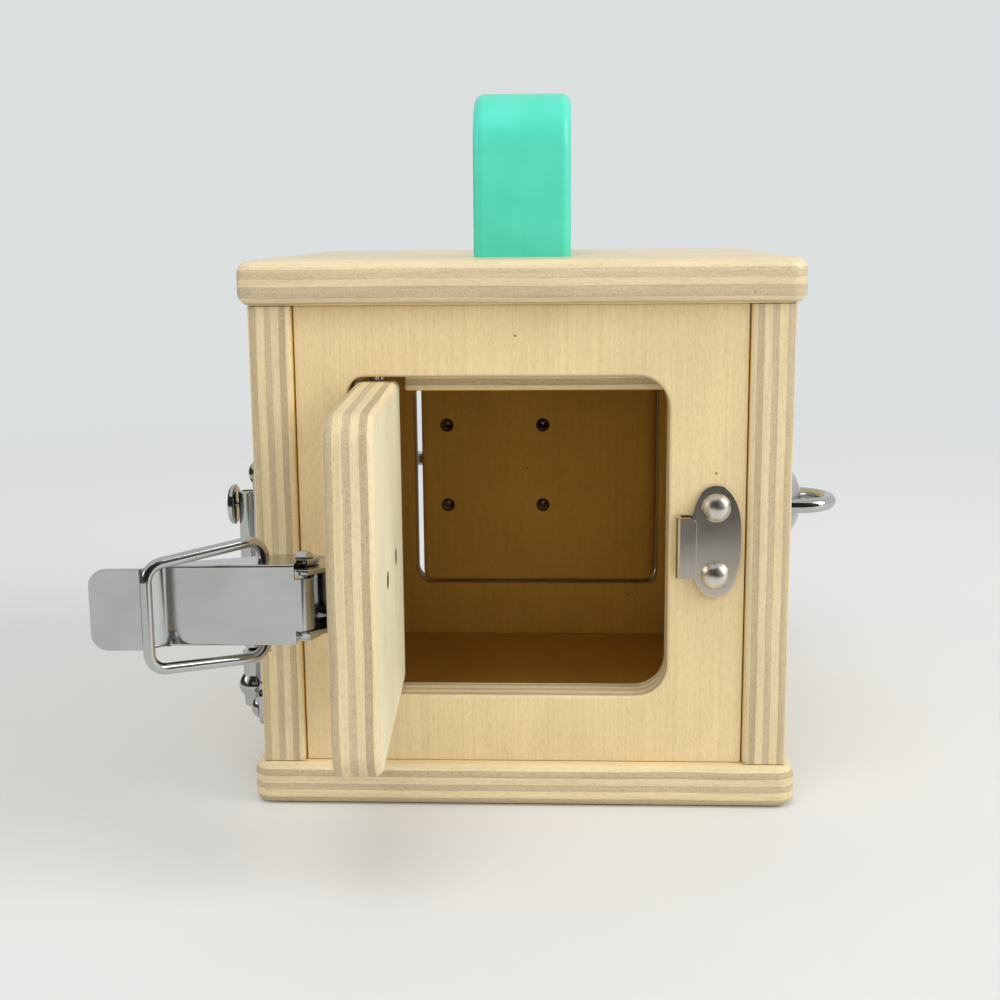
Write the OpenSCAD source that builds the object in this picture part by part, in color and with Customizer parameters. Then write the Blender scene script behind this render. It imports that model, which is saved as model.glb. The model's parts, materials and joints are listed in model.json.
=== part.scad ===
// Plywood toy lock box: four doors on hidden pins, each held by a different lock.
// X runs to the right, Y to the back, Z up. The origin is the centre of the base's underside.

/* [Case] */
// Width of the case over its side panels
case_w = 110; // [104:1:130]
// Depth of the case along its side panels
case_d = 110; // [106:1:130]
// Height of the walls between the base and the lid
wall_h = 96; // [92:1:120]
// Thickness of the plywood
ply_t = 9; // [8:0.5:11]
// How far the lid and the base stand out past the walls
board_overhang = 2; // [1:0.5:4]
// Corner radius of the lid and the base, seen from above
board_corner_r = 4; // [3:0.5:8]
// Rounding along the edges of the lid and the base
board_edge_r = 2.5; // [1:0.25:4]
// Easing along the upright edges of the side panels
wall_edge_r = 1.5; // [0.5:0.25:2.5]
// How far the front and back panels sit behind the ends of the side panels
panel_recess = 1.3; // [0.5:0.1:3]
// Diameter of the dowels that join the walls to the lid and the base
dowel_d = 5; // [4:0.5:6]
// Depth of a dowel in the lid or the base
dowel_in_board = 6; // [4:0.5:7]
// Depth of a dowel in a wall
dowel_in_wall = 9; // [6:0.5:12]
// Dowels from the middle of the front and back panels
dowel_front_x = 18; // [14:1:24]
// Rear dowels of the side panels behind the hinge pins
dowel_pin_gap = 11; // [8:0.5:12]

/* [Doors] */
// Height of each door opening
open_h = 67; // [60:1:72]
// Corner radius of each door opening at its free side
open_corner_r = 6.5; // [5:0.5:10]
// Corner radius of each door opening at its hinge side, where the door's corner swings past
open_hinge_r = 3.3; // [2:0.1:3.6]
// Front panel beside its opening, at the hinge side
front_hinge_stile = 10.9; // [9:0.1:14]
// Front panel beside its opening, at the free side
front_free_stile = 15.9; // [15.5:0.1:18]
// Back panel beside its opening, at the hinge side
back_hinge_stile = 12; // [10:0.1:14]
// Side panels beside their openings, at the free side
side_free_stile = 22.4; // [22:0.2:26]
// Corner radius of the back opening at its free side
back_corner_r = 3.6; // [3:0.1:6]
// Extra width of the back opening at the free edge of its door
back_extra = 0.9; // [0:0.1:2]
// Gap at a door's round hinge edge
hinge_gap = 0.4; // [0.3:0.05:1]
// Gap at a door's free edge
free_gap = 1; // [0.6:0.1:2]
// Gap above and below a door
end_gap = 1; // [0.6:0.1:2]
// Easing along a door's edges
door_edge_r = 1.5; // [1.2:0.1:2.5]
// How much thinner a door is than its panel, so that it shuts clear of its stop
stop_relief = 0.2; // [0.1:0.05:0.4]
// Hinge pin's axis from the hinge side of the opening
pin_inset = 5.6; // [5.5:0.1:8]
// Diameter of a hinge pin
pin_d = 3; // [2:0.25:4]
// Length of a hinge pin in the panel
pin_in_panel = 7; // [5:0.5:9]
// Length of a hinge pin in the door
pin_in_door = 10; // [7:0.5:14]
// How far the front door stands open
front_door_angle = 87.7; // [0:0.1:100]
// How far a stop batten hangs below the top of its opening
stop_lap = 3.8; // [2:0.2:6]
// Depth of a stop batten behind its panel
stop_depth = 10; // [6:0.5:12]

/* [Handle] */
// Width of the handle strap
handle_w = 20.5; // [15:0.5:26]
// Length of the handle over its two legs
handle_len = 76; // [64:1:90]
// Height of the handle above the lid
handle_h = 34; // [28:1:45]
// Thickness of the handle strap
handle_t = 6.5; // [5:0.25:8]
// Outer radius of the handle's shoulders
handle_shoulder_r = 12; // [9:0.5:18]
// Rounding along the handle's long edges
handle_edge_r = 2.2; // [1:0.2:2.8]
// Depth of a handle screw in its leg
handle_screw_depth = 10; // [6:0.5:14]

/* [Screws] */
// Diameter of a dome head
dome_d = 6; // [5:0.25:6.5]
// Height of a dome head
dome_h = 1.9; // [1.2:0.1:2.4]
// Diameter of a screw's shank
shank_d = 2.8; // [2:0.1:3]
// Depth of a short screw in the wood
short_screw = 6.5; // [5:0.25:7.5]
// How far the tip of a long screw stays inside its through hole
tip_recess = 3.4; // [2:0.1:4]

/* [Draw latch] */
// Height of the draw latch above the base's underside
latch_z = 56; // [50:0.5:62]
// Lever pivot from the front door's free edge
latch_inset = 10.8; // [9:0.1:14]
// Lever pivot above the door's face
latch_pivot_out = 4.9; // [4.2:0.1:6]
// Thickness of the latch's sheet steel
latch_sheet = 1; // [0.8:0.1:1.2]
// Width of the lever
lever_w = 14.4; // [12:0.2:16]
// Length of the lever from its pivot
lever_len = 36; // [32:0.5:42]
// Straight length of the lever before its thumb end
lever_straight = 23.5; // [18:0.5:24]
// Lever's face above its pivot
lever_face = 6.5; // [5.5:0.1:8]
// Lever's root wall from its pivot
lever_root = 2.1; // [2.1:0.1:2.6]
// Radius of the folds along the lever's face
lever_fold_r = 2.2; // [1.5:0.1:2.6]
// Width of the lever's root wall between its two corner notches
lever_root_w = 9.2; // [8:0.1:9.4]
// How far an ear of the latch base reaches in front of the pivot
ear_front = 5.6; // [4.8:0.1:5.8]
// How far the thumb end is set out from the lever's face
thumb_set = 2.6; // [1.5:0.1:4]
// Bail pivot from the lever pivot, along the lever
bail_arm = 7; // [6.2:0.1:8]
// Bail pivot above the lever pivot
bail_rise = 1; // [0:0.1:1.5]
// Diameter of the bail's wire
bail_d = 2; // [1.6:0.1:2.4]
// Half width of the bail at its pivot, to the wire's middle
bail_half = 10.5; // [10:0.1:12]
// Angle by which each leg of the bail leans inward
bail_lean = 4.5; // [0:0.5:8]
// Bend radius of the bail's wire
bail_bend_r = 3.2; // [2.5:0.1:4]
// How far the bail stands out from the lever
bail_angle = 38; // [30:1:60]
// Near screw of the latch base from the lever pivot
latch_screw_near = 11.5; // [9:0.5:14]
// Far screw of the latch base from the lever pivot
latch_screw_far = 31.2; // [26:0.2:33]
// Middle of the keeper from the free side of the opening
keeper_inset = 9.6; // [9:0.1:10.5]
// Width of the keeper's plate
keeper_w = 10.8; // [9:0.2:11]
// Height of the keeper's plate
keeper_h = 23.4; // [22:0.2:28]
// Height of the keeper's hook
hook_tab_h = 12.6; // [9:0.2:14]
// Reach of the keeper's hook from the middle of its plate
hook_tab_reach = 8.2; // [7.8:0.1:8.4]
// Middle of the keeper's plate above its hook
keeper_rise = 0.7; // [0:0.1:1.5]
// Distance between the keeper's screws
keeper_screw_gap = 14.2; // [13:0.2:16]

/* [Back bolt] */
// Height of the back bolt above the base's underside
bolt_z = 56.4; // [50:0.2:62]
// Middle of the bolt's plate from the back door's free edge
bolt_inset = 20; // [19:0.5:23]
// Length of the bolt's plate
bolt_len = 34; // [32:0.5:38]
// Height of the bolt's plate
bolt_w = 28; // [26:0.5:32]
// Distance between the bolt's screws along the rod
bolt_screw_x = 26; // [24:0.5:28]
// Distance between the bolt's screws across the rod
bolt_screw_y = 22; // [20:0.5:23]
// Diameter of the bolt's rod
rod_d = 4; // [3:0.25:4.5]
// How far the withdrawn rod reaches past the door's free edge
rod_rest_reach = 2.9; // [1.8:0.1:3.4]
// Rod behind the middle of the bolt's plate
rod_tail = 22; // [21:0.5:24]
// Diameter of the bolt's knob
bolt_knob_d = 7; // [5:0.25:9]
// Middle of the bolt's keeper from the free side of the opening
bolt_keeper_inset = 7.8; // [7.4:0.1:8.6]

/* [Drop bolt] */
// Drop bolt's rod from the free side of the left opening
drop_inset = 11.3; // [10.8:0.1:12]
// Drop bolt's rod above the panel's face
drop_out = 3.6; // [3.5:0.1:4.4]
// Diameter of the drop bolt's rod
drop_rod_d = 2.4; // [2:0.1:2.6]
// Wall of the drop bolt's barrel
drop_wall = 0.75; // [0.6:0.05:0.9]
// Foot of the drop bolt's plate below the tongue
drop_foot_drop = 16.2; // [15:0.1:17.5]
// Length of the drop bolt's plate
drop_len = 57.5; // [55:0.5:62]
// Middle of the tongue above the foot of the left opening
tongue_rise = 8.2; // [7:0.1:9.5]
// Height of the gap that the tongue enters
tongue_gap = 2.6; // [2.2:0.1:3.2]
// Drop bolt's knob above the tongue when it is up
drop_knob_rise = 30.8; // [28:0.2:31]
// Diameter of the drop bolt's knob
drop_knob_d = 8.5; // [6:0.25:10]

/* [Hook] */
// Height of the staple's ring above the base's underside
staple_z = 63.3; // [58:0.1:68]
// Middle of the staple from the free side of the right opening
staple_inset = 10.4; // [9.8:0.1:12]
// Diameter of the staple's dome
staple_dome_d = 16; // [14:0.5:18]
// Height of the staple's dome
staple_dome_h = 3.4; // [2.8:0.1:3.8]
// Radius of the staple's ring, to the middle of its wire
staple_ring_r = 7; // [6.6:0.1:7.6]
// Diameter of the wire of the ring and the hook
hook_wire_d = 3; // [2.4:0.1:3.2]
// Hook's pivot from the right door's free edge
hook_inset = 35.6; // [32:0.2:38]
// Length of the hook's bent tip
hook_tip = 8; // [6:0.5:10]

/* [Hidden] */
$fn = 48;

wood = "burlywood";
steel = "silver";
mint = "mediumaquamarine";

// Clearances
running_fit = 0.05;
seat_fit = 0.03;
loose_fit = 0.3;
hole_extra = 0.4;
end_play = 0.2;
merge_lap = 0.1;

// Case
half_w = case_w / 2;
half_d = case_d / 2;
wall_z0 = ply_t;
wall_z1 = ply_t + wall_h;
top_z = wall_z1 + ply_t;
inner_w = case_w - 2 * ply_t;
panel_y = half_d - panel_recess - ply_t / 2;
side_x = half_w - ply_t / 2;
inner_d = 2 * panel_y - ply_t;

// Doors, seen from outside with the hinge pin at u = 0 and the free edge at +u
open_w = inner_w - front_hinge_stile - front_free_stile;
open_u0 = -pin_inset;
open_u1 = open_w - pin_inset;
open_z0 = wall_z0 + (wall_h - open_h) / 2;
open_z1 = open_z0 + open_h;
door_u0 = open_u0 + hinge_gap;
door_u1 = open_u1 - free_gap;
door_z0 = open_z0 + end_gap;
door_z1 = open_z1 - end_gap;
door_corner_r = open_corner_r - end_gap;
door_t = ply_t - stop_relief;
hinge_flat = 0.3;
hinge_edge_r = door_t / 2 - hinge_flat;
front_pin_x = front_hinge_stile - inner_w / 2 + pin_inset;
back_pin_x = inner_w / 2 - back_hinge_stile - pin_inset;
side_pin_y = side_free_stile - half_d + open_u1;
stop_z = open_z1 - stop_lap;
stop_clear = 0.5;
stop_u0 = ply_t / 2 + stop_clear;
front_stop_u1 = inner_w / 2 - front_pin_x;
back_stop_u1 = inner_w / 2 + back_pin_x;
side_stop_u1 = side_pin_y + inner_d / 2 - stop_depth;

// Handle
handle_leg_y = handle_len / 2 - handle_t / 2;
handle_head_h = 2;
handle_bend_r = handle_shoulder_r - handle_t / 2;
handle_leg_h = handle_h - handle_shoulder_r;

// Draw latch
latch_u = door_u1 - latch_inset;
lever_in_w = lever_w - 2 * latch_sheet;
ear_w = lever_in_w - 2 * end_play;
rivet_span = lever_w + 2 * end_play;
rivet_d = 2;
rivet_head_d = 3.4;
rivet_head_h = 0.9;
ear_r = 2.6;
ear_back = 6.5;
ear_tip_r = 1.8;
ear_tip_drop = 0.6;
ear_web_h = 4.6;
lever_notch = 1;
lever_tall = 40;
latch_tail = latch_screw_far + 4.2;
latch_plate_r = 2;
lever_root_r = 2.4;
bail_eye_r = 2.6;
bail_stub_in = 0.4;
keeper_u = open_u1 + keeper_inset;
hook_slot = bail_d + 2 * loose_fit;
hook_tab_out = latch_sheet + hook_slot + latch_sheet;
hook_lip = 4;
hook_tab_r = 1.2;
bail_seat_u = keeper_u - hook_tab_reach + latch_sheet + bail_d / 2 + loose_fit / 2;
bail_len = bail_seat_u - latch_u + bail_arm;
bail_bar = bail_half - bail_bend_r - (bail_len - 2 * bail_bend_r) * tan(bail_lean);
wire_step = 0.01;
wire_lap = 0.2;
thumb_run = 3;
thumb_end_r = 3;
thumb_steps = [for (i = [0 : 12]) lever_straight - merge_lap + i * thumb_run / 12];

// Back bolt
bolt_u = door_u1 - bolt_inset;
bolt_sheet = 1;
bolt_plate_r = 3;
bolt_keeper_r = 2.5;
bolt_out = bolt_sheet + loose_fit + rod_d / 2;
rod_tip_u = door_u1 + rod_rest_reach;
strap_w = 6;
strap_t = 1.2;
strap_out = 11;
bolt_stem_d = 2.4;
bolt_stem_u = bolt_u - 4.5;
bolt_stem_h = 4.5;
bolt_knob_t = 1.6;
bolt_knob_sink = 1;
bolt_knob_dome = 1.4;
bolt_keeper_u = open_u1 + back_extra + bolt_keeper_inset;
bolt_keeper_screw = 8.4;
screw_margin = 0.8;

// Drop bolt
drop_u = open_u1 + drop_inset;
drop_sheet = 1.2;
drop_barrel_r = drop_rod_d / 2 + running_fit + drop_wall;
drop_plate_w = 12;
drop_foot_w = 17.6;
drop_foot_h = 9.5;
drop_plate_r = 3;
drop_web = 2.4;
tongue_z = open_z0 + tongue_rise;
drop_foot_z = tongue_z - drop_foot_drop;
drop_knob_z = tongue_z + drop_knob_rise;
drop_low_screw_x = 6.3;
drop_low_screw_z = drop_foot_z + 4;
drop_top_z = drop_foot_z + drop_len;
drop_top_screw_z = drop_top_z - 3.8;
drop_barrel_z0 = tongue_z + tongue_gap / 2;
drop_barrel_z1 = drop_top_screw_z - dome_d / 2 - screw_margin;
drop_sleeve_z1 = tongue_z - tongue_gap / 2;
drop_sleeve_z0 = drop_foot_z + 2.5;
drop_collar_h = 5;
drop_sleeve_r = 2.4;
drop_collar_r = 3.5;
drop_collar_taper = 1.5;
drop_stem_d = 1.2;
drop_slot_end = 1.5;
drop_travel = 12;
drop_tip_in = 1;
drop_sleeve_floor = 1.5;
drop_knob_gap = 0.3;
drop_tip_z = drop_barrel_z0 + drop_tip_in;
drop_rod_top_z = drop_barrel_z1 - loose_fit;
drop_knob_t = 1.4;
drop_knob_out = drop_out + drop_barrel_r + drop_knob_gap;
tongue_t = 1.2;
tongue_gap_in = 0.4;
tongue_eye_r = drop_out - drop_sheet - tongue_gap_in;
tongue_hole_r = drop_rod_d / 2 + loose_fit;
tongue_plate_w = 13;
tongue_plate_h = 14;
tongue_u1 = door_u1 - 1.6;
tongue_screw_gap = 6.4;
tongue_screw_rise = 8.4;
small_dome_d = 5;

// Hook and staple
staple_u = open_u1 + staple_inset;
staple_ring_out = 2.2;
staple_shank = 7;
hook_u = door_u1 - hook_inset;
hook_z = staple_z + hook_wire_d + loose_fit + end_play;
hook_out = staple_ring_out + (staple_ring_r - hook_wire_d / 2 + staple_dome_h - staple_ring_out) / 2;
hook_arm = staple_u - hook_u;
hook_bend_r = 3.2;
hook_post_d = 3;
hook_eye_r = 3.7;
hook_collar_r = 2.4;
hook_cap_r = 2.7;
hook_cap_h = 1.2;
hook_dome_d = 13;
hook_dome_h = 2.6;

// Shapes that repeat

// Rectangle with round corners about the origin
module rounded_rect(w, h, r) {
    square([w - 2 * r, h], center = true);
    square([w, h - 2 * r], center = true);
    for (sx = [-1, 1], sy = [-1, 1])
        translate([sx * (w / 2 - r), sy * (h / 2 - r)])
            circle(r);
}

// Lid or base: a board with round corners and round edges, standing on z = 0
module edged_board(w, d, t, corner_r, edge_r) {
    translate([0, 0, t / 2])
        intersection() {
            linear_extrude(t, center = true)
                rounded_rect(w, d, corner_r);
            rotate([90, 0, 0])
                linear_extrude(d, center = true)
                    rounded_rect(w, t, edge_r);
            rotate([90, 0, 90])
                linear_extrude(w, center = true)
                    rounded_rect(d, t, edge_r);
        }
}

// Places seen from outside each door: u from the hinge pin to the free edge, outward along -Y
module at_front(angle = 0) {
    translate([front_pin_x, -panel_y, 0])
        rotate([0, 0, -angle])
            children();
}

module at_back() {
    translate([back_pin_x, panel_y, 0])
        rotate([0, 0, 180])
            children();
}

module at_left() {
    translate([-side_x, side_pin_y, 0])
        rotate([0, 0, -90])
            children();
}

module at_right() {
    translate([side_x, side_pin_y, 0])
        rotate([0, 0, 90])
            mirror([1, 0, 0])
                children();
}

// Face of a door or panel: X along u, Y up, Z out of the face
module on_face(u, z) {
    translate([u, -ply_t / 2, z])
        rotate([90, 0, 0])
            children();
}

// Opening through a wall, with tighter corners at its hinge side, and the holes for its two hinge pins
module wall_opening(extra = 0, free_r = open_corner_r) {
    w = open_w + extra;
    translate([open_u0, 0, (open_z0 + open_z1) / 2])
        rotate([90, 0, 0])
            linear_extrude(ply_t + 2, center = true) {
                translate([w / 2, 0])
                    rounded_rect(w, open_h, free_r);
                translate([w / 4, 0])
                    rounded_rect(w / 2, open_h, open_hinge_r);
            }
    translate([0, 0, open_z0 - pin_in_panel])
        cylinder(d = pin_d + 2 * seat_fit, h = open_h + 2 * pin_in_panel);
}

// Door board with a round hinge edge and the two bores for its hinge pins
module door_board(free_r = door_corner_r) {
    w = door_u1 - door_u0;
    h = door_z1 - door_z0;
    difference() {
        translate([(door_u0 + door_u1) / 2, -stop_relief / 2, (door_z0 + door_z1) / 2])
            intersection() {
                rotate([90, 0, 0])
                    linear_extrude(door_t, center = true) {
                        rounded_rect(w, h, door_corner_r);
                        translate([w / 4, 0])
                            rounded_rect(w / 2, h, free_r);
                    }
                linear_extrude(h, center = true)
                    rounded_rect(w, door_t, door_edge_r);
                linear_extrude(h, center = true)
                    translate([w / 2, 0])
                        rounded_rect(2 * w, door_t, hinge_edge_r);
                rotate([90, 0, 90])
                    linear_extrude(w, center = true)
                        rounded_rect(door_t, h, door_edge_r);
            }
        for (z = [door_z0 - 1, door_z1 - pin_in_door - hole_extra])
            translate([0, 0, z])
                cylinder(d = pin_d + 2 * running_fit, h = pin_in_door + hole_extra + 1);
    }
}

// The two hinge pins of one door
module hinge_pins() {
    color(steel)
        for (z = [open_z0 - pin_in_panel, door_z1 - pin_in_door])
            translate([0, 0, z])
                cylinder(d = pin_d, h = pin_in_panel + end_gap + pin_in_door);
}

// Stop batten behind a panel, from past the hinge to u1
module stop_batten(u1) {
    color(wood)
        translate([stop_u0, ply_t / 2, stop_z])
            cube([u1 - stop_u0, stop_depth, ply_t]);
}

// Round cap of a sphere on z = 0
module dome(d, h) {
    r = (d * d / 4 + h * h) / (2 * h);
    rotate_extrude()
        intersection() {
            translate([0, h - r])
                circle(r);
            square([d, h]);
        }
}

// Dome-head screw through a sheet, with its head on the sheet's outer side
module dome_screw(sheet, depth, head_d = dome_d) {
    translate([0, 0, sheet])
        dome(head_d, dome_h);
    translate([0, 0, -depth])
        cylinder(d = shank_d, h = depth + sheet);
}

// Hole for a screw in wood
module screw_hole(depth) {
    translate([0, 0, -depth])
        cylinder(d = shank_d + 2 * seat_fit, h = depth + 1);
}

// Hole for a screw in a sheet
module sheet_hole(sheet) {
    translate([0, 0, -1])
        cylinder(d = shank_d + loose_fit, h = sheet + 2);
}

// Bent round wire in the X-Y plane, from angle a0 over the given sweep
module wire_bend(r, wire_d, a0, sweep) {
    rotate([0, 0, a0])
        rotate_extrude(angle = sweep)
            translate([r, 0])
                circle(d = wire_d);
}

// Straight round wire in the X-Y plane, a hair thinner than the bends it runs into
module wire_run(from, length, angle, wire_d) {
    translate([from[0], from[1], 0])
        rotate([0, 0, angle])
            rotate([0, 90, 0])
                translate([0, 0, -wire_lap])
                    cylinder(d = wire_d - 2 * wire_step, h = length + 2 * wire_lap);
}

// Case

// Dowels of one board, from the board's inner face into the four walls
module dowel_places() {
    for (s = [-1, 1], t = [-1, 1]) {
        translate([s * dowel_front_x, t * panel_y, 0])
            children();
        translate([s * side_x, t > 0 ? side_pin_y + dowel_pin_gap : side_pin_y - drop_u, 0])
            children();
    }
}

module dowel_hole(depth_down, depth_up) {
    translate([0, 0, -depth_down])
        cylinder(d = dowel_d + 2 * seat_fit, h = depth_down + depth_up);
}

module base_dowel_holes() {
    translate([0, 0, wall_z0])
        dowel_places()
            dowel_hole(dowel_in_board + hole_extra, dowel_in_wall + hole_extra);
}

module lid_dowel_holes() {
    translate([0, 0, wall_z1])
        dowel_places()
            dowel_hole(dowel_in_wall + hole_extra, dowel_in_board + hole_extra);
}

module base() {
    color(wood)
        difference() {
            edged_board(case_w + 2 * board_overhang, case_d + 2 * board_overhang, ply_t,
                        board_corner_r, board_edge_r);
            base_dowel_holes();
        }
}

module lid() {
    color(wood)
        difference() {
            translate([0, 0, wall_z1])
                edged_board(case_w + 2 * board_overhang, case_d + 2 * board_overhang, ply_t,
                            board_corner_r, board_edge_r);
            lid_dowel_holes();
            for (s = [-1, 1])
                translate([0, s * handle_leg_y, wall_z1 - 1])
                    cylinder(d = shank_d + loose_fit, h = ply_t + 2);
        }
}

module base_dowels() {
    color(wood)
        translate([0, 0, wall_z0 - dowel_in_board])
            dowel_places()
                cylinder(d = dowel_d, h = dowel_in_board + dowel_in_wall);
}

module lid_dowels() {
    color(wood)
        translate([0, 0, wall_z1 - dowel_in_wall])
            dowel_places()
                cylinder(d = dowel_d, h = dowel_in_board + dowel_in_wall);
}

module panel_board() {
    translate([-inner_w / 2, -ply_t / 2, wall_z0])
        cube([inner_w, ply_t, wall_h]);
}

module front_panel() {
    color(wood)
        difference() {
            translate([0, -panel_y, 0])
                panel_board();
            at_front() {
                wall_opening();
                keeper_screw_places()
                    screw_hole(short_screw + hole_extra);
            }
            base_dowel_holes();
            lid_dowel_holes();
        }
}

module back_panel() {
    color(wood)
        difference() {
            translate([0, panel_y, 0])
                panel_board();
            at_back() {
                wall_opening(back_extra, back_corner_r);
                bolt_keeper_screw_places()
                    screw_hole(short_screw + hole_extra);
            }
            base_dowel_holes();
            lid_dowel_holes();
        }
}

module side_board() {
    translate([0, 0, wall_z0])
        linear_extrude(wall_h)
            rounded_rect(ply_t, case_d, wall_edge_r);
}

module left_panel() {
    color(wood)
        difference() {
            translate([-side_x, 0, 0])
                side_board();
            at_left() {
                wall_opening();
                drop_screw_places()
                    screw_hole(short_screw + hole_extra);
            }
            base_dowel_holes();
            lid_dowel_holes();
        }
}

module right_panel() {
    color(wood)
        difference() {
            translate([side_x, 0, 0])
                side_board();
            at_right() {
                wall_opening();
                on_face(staple_u, staple_z)
                    screw_hole(staple_shank + hole_extra);
            }
            base_dowel_holes();
            lid_dowel_holes();
        }
}

module front_stop() {
    at_front()
        stop_batten(front_stop_u1);
}

module back_stop() {
    at_back()
        stop_batten(back_stop_u1);
}

module left_stop() {
    at_left()
        stop_batten(side_stop_u1);
}

module right_stop() {
    at_right()
        stop_batten(side_stop_u1);
}

// Doors

module front_door() {
    color(wood)
        at_front(front_door_angle)
            difference() {
                door_board();
                latch_screw_places()
                    screw_hole(ply_t + 1);
            }
}

module back_door() {
    color(wood)
        at_back()
            difference() {
                door_board(back_corner_r - end_gap);
                bolt_screw_places()
                    screw_hole(ply_t + 1);
            }
}

module left_door() {
    color(wood)
        at_left()
            difference() {
                door_board();
                tongue_screw_places()
                    screw_hole(short_screw + hole_extra);
            }
}

module right_door() {
    color(wood)
        at_right()
            difference() {
                door_board();
                on_face(hook_u, hook_z)
                    screw_hole(staple_shank + hole_extra);
            }
}

module front_hinge_pins() {
    at_front()
        hinge_pins();
}

module back_hinge_pins() {
    at_back()
        hinge_pins();
}

module left_hinge_pins() {
    at_left()
        hinge_pins();
}

module right_hinge_pins() {
    at_right()
        hinge_pins();
}

// Handle

// Leg of the handle and the bend above it
module handle_leg() {
    translate([0, handle_leg_y, 0])
        linear_extrude(handle_leg_h)
            rounded_rect(handle_w, handle_t, handle_edge_r);
    translate([0, handle_leg_y - handle_bend_r, handle_leg_h])
        rotate([90, 0, 90])
            rotate_extrude(angle = 90)
                translate([handle_bend_r, 0])
                    rounded_rect(handle_t, handle_w, handle_edge_r);
}

module handle() {
    color(mint)
        difference() {
            translate([0, 0, top_z]) {
                handle_leg();
                mirror([0, 1, 0])
                    handle_leg();
                translate([0, 0, handle_h - handle_t / 2])
                    rotate([90, 0, 0])
                        linear_extrude(handle_len - 2 * handle_shoulder_r, center = true)
                            rounded_rect(handle_w, handle_t, handle_edge_r);
            }
            for (s = [-1, 1])
                translate([0, s * handle_leg_y, top_z - 1])
                    cylinder(d = shank_d + 2 * seat_fit, h = handle_screw_depth + hole_extra + 1);
        }
}

module handle_screws() {
    color(steel)
        for (s = [-1, 1])
            translate([0, s * handle_leg_y, wall_z1]) {
                translate([0, 0, -handle_head_h])
                    cylinder(d = dome_d, h = handle_head_h);
                cylinder(d = shank_d, h = ply_t + handle_screw_depth);
            }
}

// Draw latch on the front door

module latch_screw_places() {
    for (x = [latch_screw_near, latch_screw_far])
        on_face(latch_u - x, latch_z)
            children();
}

// Ear of the latch base, in the plane of X along the door and Y out of it
module ear_outline() {
    tip_y = latch_pivot_out - ear_tip_drop;
    translate([0, latch_pivot_out])
        circle(ear_r);
    translate([ear_front - ear_tip_r, tip_y])
        circle(ear_tip_r);
    polygon([
        [-ear_back, 0],
        [ear_r, 0],
        [ear_front, tip_y],
        [ear_front - ear_tip_r, tip_y + ear_tip_r],
        [0, latch_pivot_out + ear_r],
        [-ear_r, latch_pivot_out]
    ]);
}

module latch_base() {
    color(steel)
        at_front(front_door_angle)
            on_face(latch_u, latch_z)
                difference() {
                    union() {
                        linear_extrude(latch_sheet)
                            translate([(ear_r - latch_tail) / 2, 0])
                                rounded_rect(latch_tail + ear_r, lever_in_w, latch_plate_r);
                        for (y = [-ear_w / 2, ear_w / 2 - latch_sheet])
                            translate([0, y + latch_sheet, 0])
                                rotate([90, 0, 0])
                                    linear_extrude(latch_sheet)
                                        ear_outline();
                        translate([-ear_back, -ear_w / 2, 0])
                            cube([latch_sheet, ear_w, ear_web_h]);
                    }
                    translate([0, 0, latch_pivot_out])
                        rotate([90, 0, 0])
                            cylinder(d = rivet_d + 2 * seat_fit, h = 2 * lever_w, center = true);
                    for (x = [latch_screw_near, latch_screw_far])
                        translate([-x, 0, 0])
                            sheet_hole(latch_sheet);
                }
}

module latch_screws() {
    color(steel)
        at_front(front_door_angle)
            latch_screw_places()
                dome_screw(latch_sheet, ply_t - tip_recess);
}

module latch_rivet() {
    color(steel)
        at_front(front_door_angle)
            on_face(latch_u, latch_z)
                translate([0, 0, latch_pivot_out])
                    rotate([90, 0, 0]) {
                        cylinder(d = rivet_d, h = rivet_span, center = true);
                        for (s = [0, 180])
                            rotate([s, 0, 0])
                                translate([0, 0, rivet_span / 2])
                                    dome(rivet_head_d, rivet_head_h);
                    }
}

// Lever's own frame: X from its pivot to the thumb end, Y out of its face, Z along the pivot
module at_lever() {
    at_front(front_door_angle)
        translate([latch_u, -ply_t / 2 - latch_pivot_out, latch_z])
            rotate([0, 0, -90])
                children();
}

// Side of the lever: deep at its pivots, shallow before the thumb end
module lever_side() {
    translate([bail_arm, bail_rise])
        circle(bail_eye_r);
    translate([lever_root_r - lever_root, lever_face - lever_root_r])
        circle(lever_root_r);
    polygon([
        [-lever_root, 0],
        [0, -ear_r],
        [bail_arm, bail_rise - bail_eye_r],
        [bail_arm + bail_eye_r, bail_rise],
        [lever_straight, lever_face - 2 * latch_sheet],
        [lever_straight, lever_face],
        [lever_root_r - lever_root, lever_face],
        [-lever_root, lever_face - lever_root_r]
    ]);
}

// Thumb end: a smooth step out of the lever's face, then flat
function thumb_y(x) = let (k = min(1, max(0, (x - lever_straight) / thumb_run)))
    lever_face + thumb_set * k * k * (3 - 2 * k);

module thumb_outline() {
    upper = concat([for (x = thumb_steps) [x, thumb_y(x)]], [[lever_len, thumb_y(lever_len)]]);
    lower = [for (i = [len(upper) - 1 : -1 : 0]) upper[i] - [0, latch_sheet]];
    polygon(concat(upper, lower));
}

// Folded section along the lever from x on, w wide, with round top edges at the given height
module folded_section(x, w, top, r) {
    translate([x, 0, 0])
        rotate([0, 90, 0])
            linear_extrude(2 * lever_len)
                translate([0, top - lever_tall / 2])
                    rounded_rect(w, lever_tall, r);
}

// Eye of a lever's side round the rivet, and the neck that joins it to the side
module lever_eye() {
    circle(ear_r);
    polygon([[0, -ear_r], [bail_arm, bail_rise - bail_eye_r], [bail_arm, bail_rise], [0, ear_r]]);
}

// Lever's channel: its face, its two folded sides and its root wall
module lever_channel() {
    intersection() {
        linear_extrude(lever_w, center = true)
            lever_side();
        folded_section(-lever_len, lever_w, lever_face, lever_fold_r);
    }
}

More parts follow.
